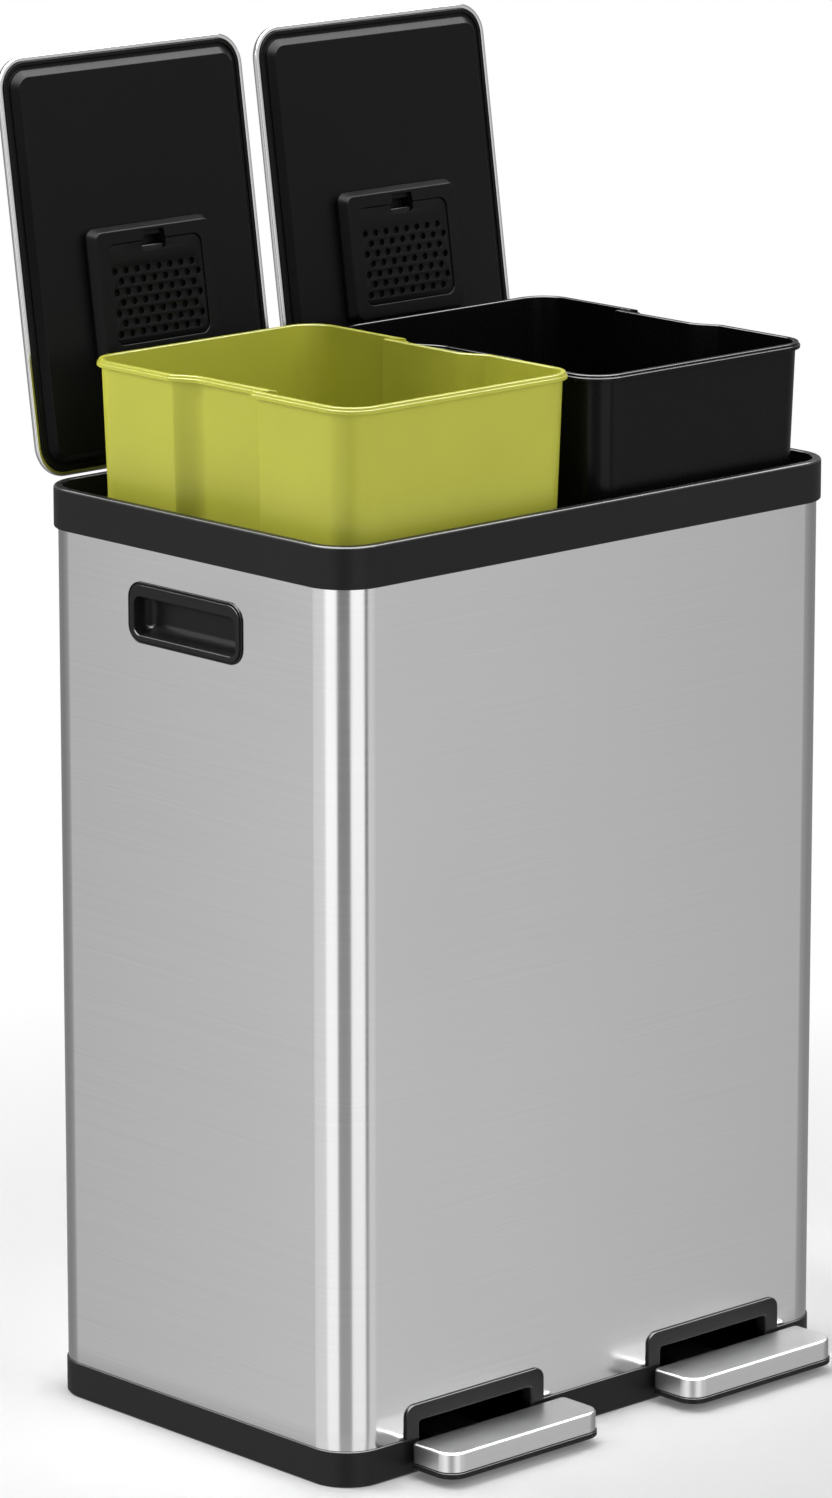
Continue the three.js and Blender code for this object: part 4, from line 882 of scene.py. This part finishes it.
def bucket(hand):
    """A tapering lift-out bucket with a stepped rim flange, drawn as one closed wall."""
    top = BUCKET_TOP[hand]
    bottom = top - BUCKET_HEIGHT
    inset, height = filleted(
        [
            (12, bottom),
            (3.6, bottom, 6),
            (3.2, top - 4.6, 0.4),
            (0, top - 4.6, 0.5),
            (0, top - 1.9, 0.6),
            (1.1, top - 1.9, 0.3),
            (1.1, top, 0.8),
            (5.2, top, 0.9),
            (5.8, bottom + 2.5, 5),
            (14, bottom + 2.5),
        ]
    )
    x, y = bucket_outline(inset, (top - height) * BUCKET_DRAFT)
    points = on_body(x + BUCKET_X[hand], y + BUCKET_Y, height[:, None])
    return flat_stays_flat(lofted(f"bucket_{hand}_moulding", points))


# ---------------------------------------------------------------- small parts and the mechanism


def dressed(node, name, bevel=0.35):
    """A merged copy of a CAD part, its flat faces made whole and its edges softened."""
    source = frame["nodes"][node].data
    corners = np.empty(len(source.loops), np.int32)
    source.loops.foreach_get("vertex_index", corners)
    mesh = bpy.data.meshes.new(name)
    mesh.from_pydata(points_of(source).tolist(), [], corners.reshape(-1, 3).tolist())
    bm = bmesh.new()
    bm.from_mesh(mesh)
    bmesh.ops.remove_doubles(bm, verts=bm.verts, dist=MERGE_DISTANCE)
    bmesh.ops.dissolve_limit(bm, angle_limit=math.radians(0.5), verts=bm.verts, edges=bm.edges)
    bm.to_mesh(mesh)
    bm.free()
    smooth(mesh)
    obj = linked(name, mesh)
    if bevel:
        bevelled(obj, bevel)
    return flat_stays_flat(obj)


# ---------------------------------------------------------------- the bin put together

show(body_shell(), "body_shell", "body_steel")
show(top_rim(), "top_rim", "black_plastic")
show(base_band(), "base_tray", "black_plastic")
show(base_tray(), "base_tray", "black_plastic")
show(dressed("bucket_shelf", "bucket_shelf_plate"), "bucket_shelf", "black_plastic")
for corner in ("front_left", "front_right", "rear_left", "rear_right"):
    pad, screw = f"foot_pad_{corner}", f"shelf_screw_{corner}"
    show(dressed(pad, f"{pad}_disc"), pad, "rubber")
    show(dressed(screw, f"{screw}_steel", 0.2), screw, "plain_steel")

for hand in SIDES:
    show(handle_cup(hand), f"handle_cup_{hand}", "black_plastic")
    show(pedal_frame(hand), f"pedal_frame_{hand}", "black_plastic")
    show(pedal_cap(hand), f"pedal_cap_{hand}", "pedal_steel")
    show(pedal_tread(hand), f"pedal_tread_{hand}", "black_plastic")
    show(lid_skin(hand), f"lid_skin_{hand}", "lid_steel")
    show(lid_liner(hand), f"lid_liner_{hand}", "liner_plastic")
    show(filter_frame(hand), f"filter_frame_{hand}", "liner_plastic")
    show(filter_cover(hand), f"filter_cover_{hand}", "liner_plastic")
    show(carbon_filter(hand), f"carbon_filter_{hand}", "filter_felt")
    show(bucket(hand), f"bucket_{hand}", "green_plastic" if hand == "left" else "bucket_black")
    for part, slot in (
        ("pedal_lever", "plain_steel"),
        ("pedal_axle", "plain_steel"),
        ("push_rod", "plain_steel"),
        ("rod_guide", "black_plastic"),
        ("damper_cylinder", "black_plastic"),
        ("damper_piston", "black_plastic"),
        ("hinge_bracket", "plain_steel"),
        ("hinge_pin", "plain_steel"),
        ("hinge_arm", "plain_steel"),
    ):
        node = f"{part}_{hand}"
        show(dressed(node, f"{node}_part"), node, slot)
    for number in (1, 2):
        node = f"arm_screw_{hand}_{number}"
        show(dressed(node, f"{node}_part", 0.2), node, "plain_steel")


# ---------------------------------------------------------------- studio


def floor():
    """A wide white floor that keeps a soft shadow. It is brighter to the camera than it is to the light.

    Away from the bin it fades to plain white, so that it meets the white studio with no edge.
    """
    half = 60.0
    shadow_reach, white_reach = 0.4, 1.0  # metres from the middle of the bin
    seen_paint, lit_paint, lift = 0.66, 0.85, 0.10
    mesh = bpy.data.meshes.new("studio_floor")
    corners = [(-half, -half, 0), (half, -half, 0), (half, half, 0), (-half, half, 0)]
    mesh.from_pydata(corners, [], [(0, 1, 2, 3)])
    obj = linked("studio_floor", mesh)
    made = bpy.data.materials.new("studio_white")
    nodes = emptied(made)
    path = nodes.add("ShaderNodeLightPath").outputs
    seen = nodes.math("MAXIMUM", path["Is Camera Ray"], path["Is Glossy Ray"])
    seen = nodes.math("MAXIMUM", seen, path["Is Transmission Ray"])
    paint = nodes.plain("ShaderNodeBsdfDiffuse", seen_paint)
    plain = nodes.plain("ShaderNodeBsdfDiffuse", lit_paint)
    glow = nodes.plain("ShaderNodeEmission", 1.0, lift)
    bright = nodes.add("ShaderNodeAddShader", {0: paint, 1: glow})
    where = nodes.add("ShaderNodeTexCoord").outputs["Object"]
    distance = nodes.add("ShaderNodeVectorMath", {0: where}, operation="LENGTH").outputs["Value"]
    away = nodes.spread(distance, 0.0, 1.0, shadow_reach, white_reach)
    white = nodes.plain("ShaderNodeEmission", 1.0, 1.0)
    faded = nodes.add("ShaderNodeMixShader", {0: away, 1: bright.outputs[0], 2: white})
    mixed = nodes.add("ShaderNodeMixShader", {0: seen, 1: plain, 2: faded.outputs[0]})
    nodes.add("ShaderNodeOutputMaterial", {"Surface": mixed.outputs[0]})
    mesh.materials.append(made)
    obj.visible_glossy = False


# The studio's upright white and grey cards as metal sees them: heading in degrees, level of the upper part
# and level of the lower part, where the cards fade into each other.
CARDS = [
    (-180, 1.55, 1.25),
    (-156, 1.55, 1.25),
    (-153, 0.24, 0.52),
    (-121, 0.24, 0.52),
    (-118, 1.50, 1.15),
    (-83, 1.50, 1.15),
    (-81, 0.08, 0.50),
    (-74, 0.08, 0.50),
    (-71, 0.95, 0.84),
    (-56, 0.84, 0.86),
    (-47, 0.74, 0.77),
    (-38, 0.42, 0.44),
    (-10, 0.30, 0.34),
    (98, 0.26, 0.30),
    (118, 0.36, 0.36),
    (127, 0.47, 0.47),
    (135, 0.92, 0.92),
    (172, 0.95, 0.95),
    (175, 1.55, 1.25),
    (180, 1.55, 1.25),
]
AMBIENT = 0.48
OVERHEAD = 12.0  # the soft box overhead, as glossy surfaces see it
OVERHEAD_EDGE, OVERHEAD_FULL = math.sin(math.radians(36)), math.sin(math.radians(52))
UPPER_EDGE, LOWER_EDGE = math.sin(math.radians(-11)), math.sin(math.radians(-20))


def card_ramp(nodes, place, column):
    """Levels round the studio, from one column of the table of cards."""
    ramp = nodes.add("ShaderNodeValToRGB", {0: place})
    stops = ramp.color_ramp.elements
    for row in CARDS[1:-1]:
        stops.new((row[0] + 180) / 360)
    for stop, row in zip(stops, CARDS):
        stop.position = (row[0] + 180) / 360
        stop.color = (row[column],) * 3 + (1,)
    return ramp.outputs[0]


def studio():
    """White all round. Metal sees the studio's cards, which stand at fixed headings round the bin."""
    world = bpy.data.worlds.new("studio")
    bpy.context.scene.world = world
    nodes = emptied(world)
    toward = nodes.add("ShaderNodeTexCoord").outputs["Generated"]
    parts = nodes.add("ShaderNodeSeparateXYZ", {0: toward}).outputs
    heading = nodes.math("ARCTAN2", parts["Y"], parts["X"])
    place = nodes.spread(heading, 0.0, 1.0, -math.pi, math.pi)
    low = nodes.spread(parts["Z"], 1.0, 0.0, LOWER_EDGE, UPPER_EDGE)
    upper, lower = card_ramp(nodes, place, 1), card_ramp(nodes, place, 2)
    blend = nodes.add("ShaderNodeMix", {"Factor": low, "A": upper, "B": lower}, data_type="RGBA")
    path = nodes.add("ShaderNodeLightPath").outputs
    high = nodes.spread(parts["Z"], 0.0, 1.0, OVERHEAD_EDGE, OVERHEAD_FULL)
    levels = {"Factor": high, "A": blend.outputs["Result"], "B": (OVERHEAD, OVERHEAD, OVERHEAD, 1)}
    seen = nodes.add("ShaderNodeMix", levels, data_type="RGBA")
    cards = nodes.add("ShaderNodeBackground", {"Color": seen.outputs["Result"], "Strength": 1.0}).outputs[0]
    white = nodes.plain("ShaderNodeBackground", 1.0, 1.0)
    light = nodes.plain("ShaderNodeBackground", 1.0, AMBIENT)
    clear = nodes.math("MAXIMUM", path["Is Camera Ray"], path["Is Transmission Ray"])
    first = nodes.add("ShaderNodeMixShader", {0: clear, 1: light, 2: white}).outputs[0]
    second = nodes.add("ShaderNodeMixShader", {0: path["Is Glossy Ray"], 1: first, 2: cards})
    nodes.add("ShaderNodeOutputWorld", {"Surface": second.outputs[0]})


def lamp(name, place, aim, size, power):
    """A soft square lamp that points at a spot on the bin."""
    data = bpy.data.lights.new(name, "AREA")
    data.shape, data.size, data.energy = "SQUARE", size, power
    obj = linked(name, data)
    toward = Vector(aim) - Vector(place)
    obj.matrix_world = Matrix.Translation(place) @ toward.to_track_quat("-Z", "Y").to_matrix().to_4x4()
    obj.visible_glossy = False
    obj.visible_camera = False


def camera():
    """The camera stands to the front left, a little over the bin's top, and looks slightly down."""
    data = bpy.data.cameras.new("camera")
    data.lens, data.sensor_width, data.sensor_fit = 168.53, 36.0, "AUTO"
    data.clip_end = 200
    obj = linked("camera", data)
    right = Vector((0.731284486, -0.682072467, -0.000389043))
    up = Vector((0.15882718, 0.16973191, 0.97260732))
    back = Vector((-0.66332264, -0.71131444, 0.23245396))
    turn = Matrix((right, up, back)).transposed().to_4x4()
    obj.matrix_world = Matrix.Translation((-3.18621706, -3.39188708, 1.55474044)) @ turn
    bpy.context.scene.camera = obj


floor()
studio()
lamp("soft_lamp_left", (-2.3, 3.0, 2.0), (0, 0, 0.4), 1.6, 108)
lamp("soft_lamp_front", (0.3, -3.4, 2.2), (0, 0, 0.4), 2.2, 38)
lamp("soft_lamp_top", (0.2, 0.4, 3.6), (0, 0, 0.3), 2.6, 34)
camera()
bpy.context.scene.view_settings.view_transform = "Standard"
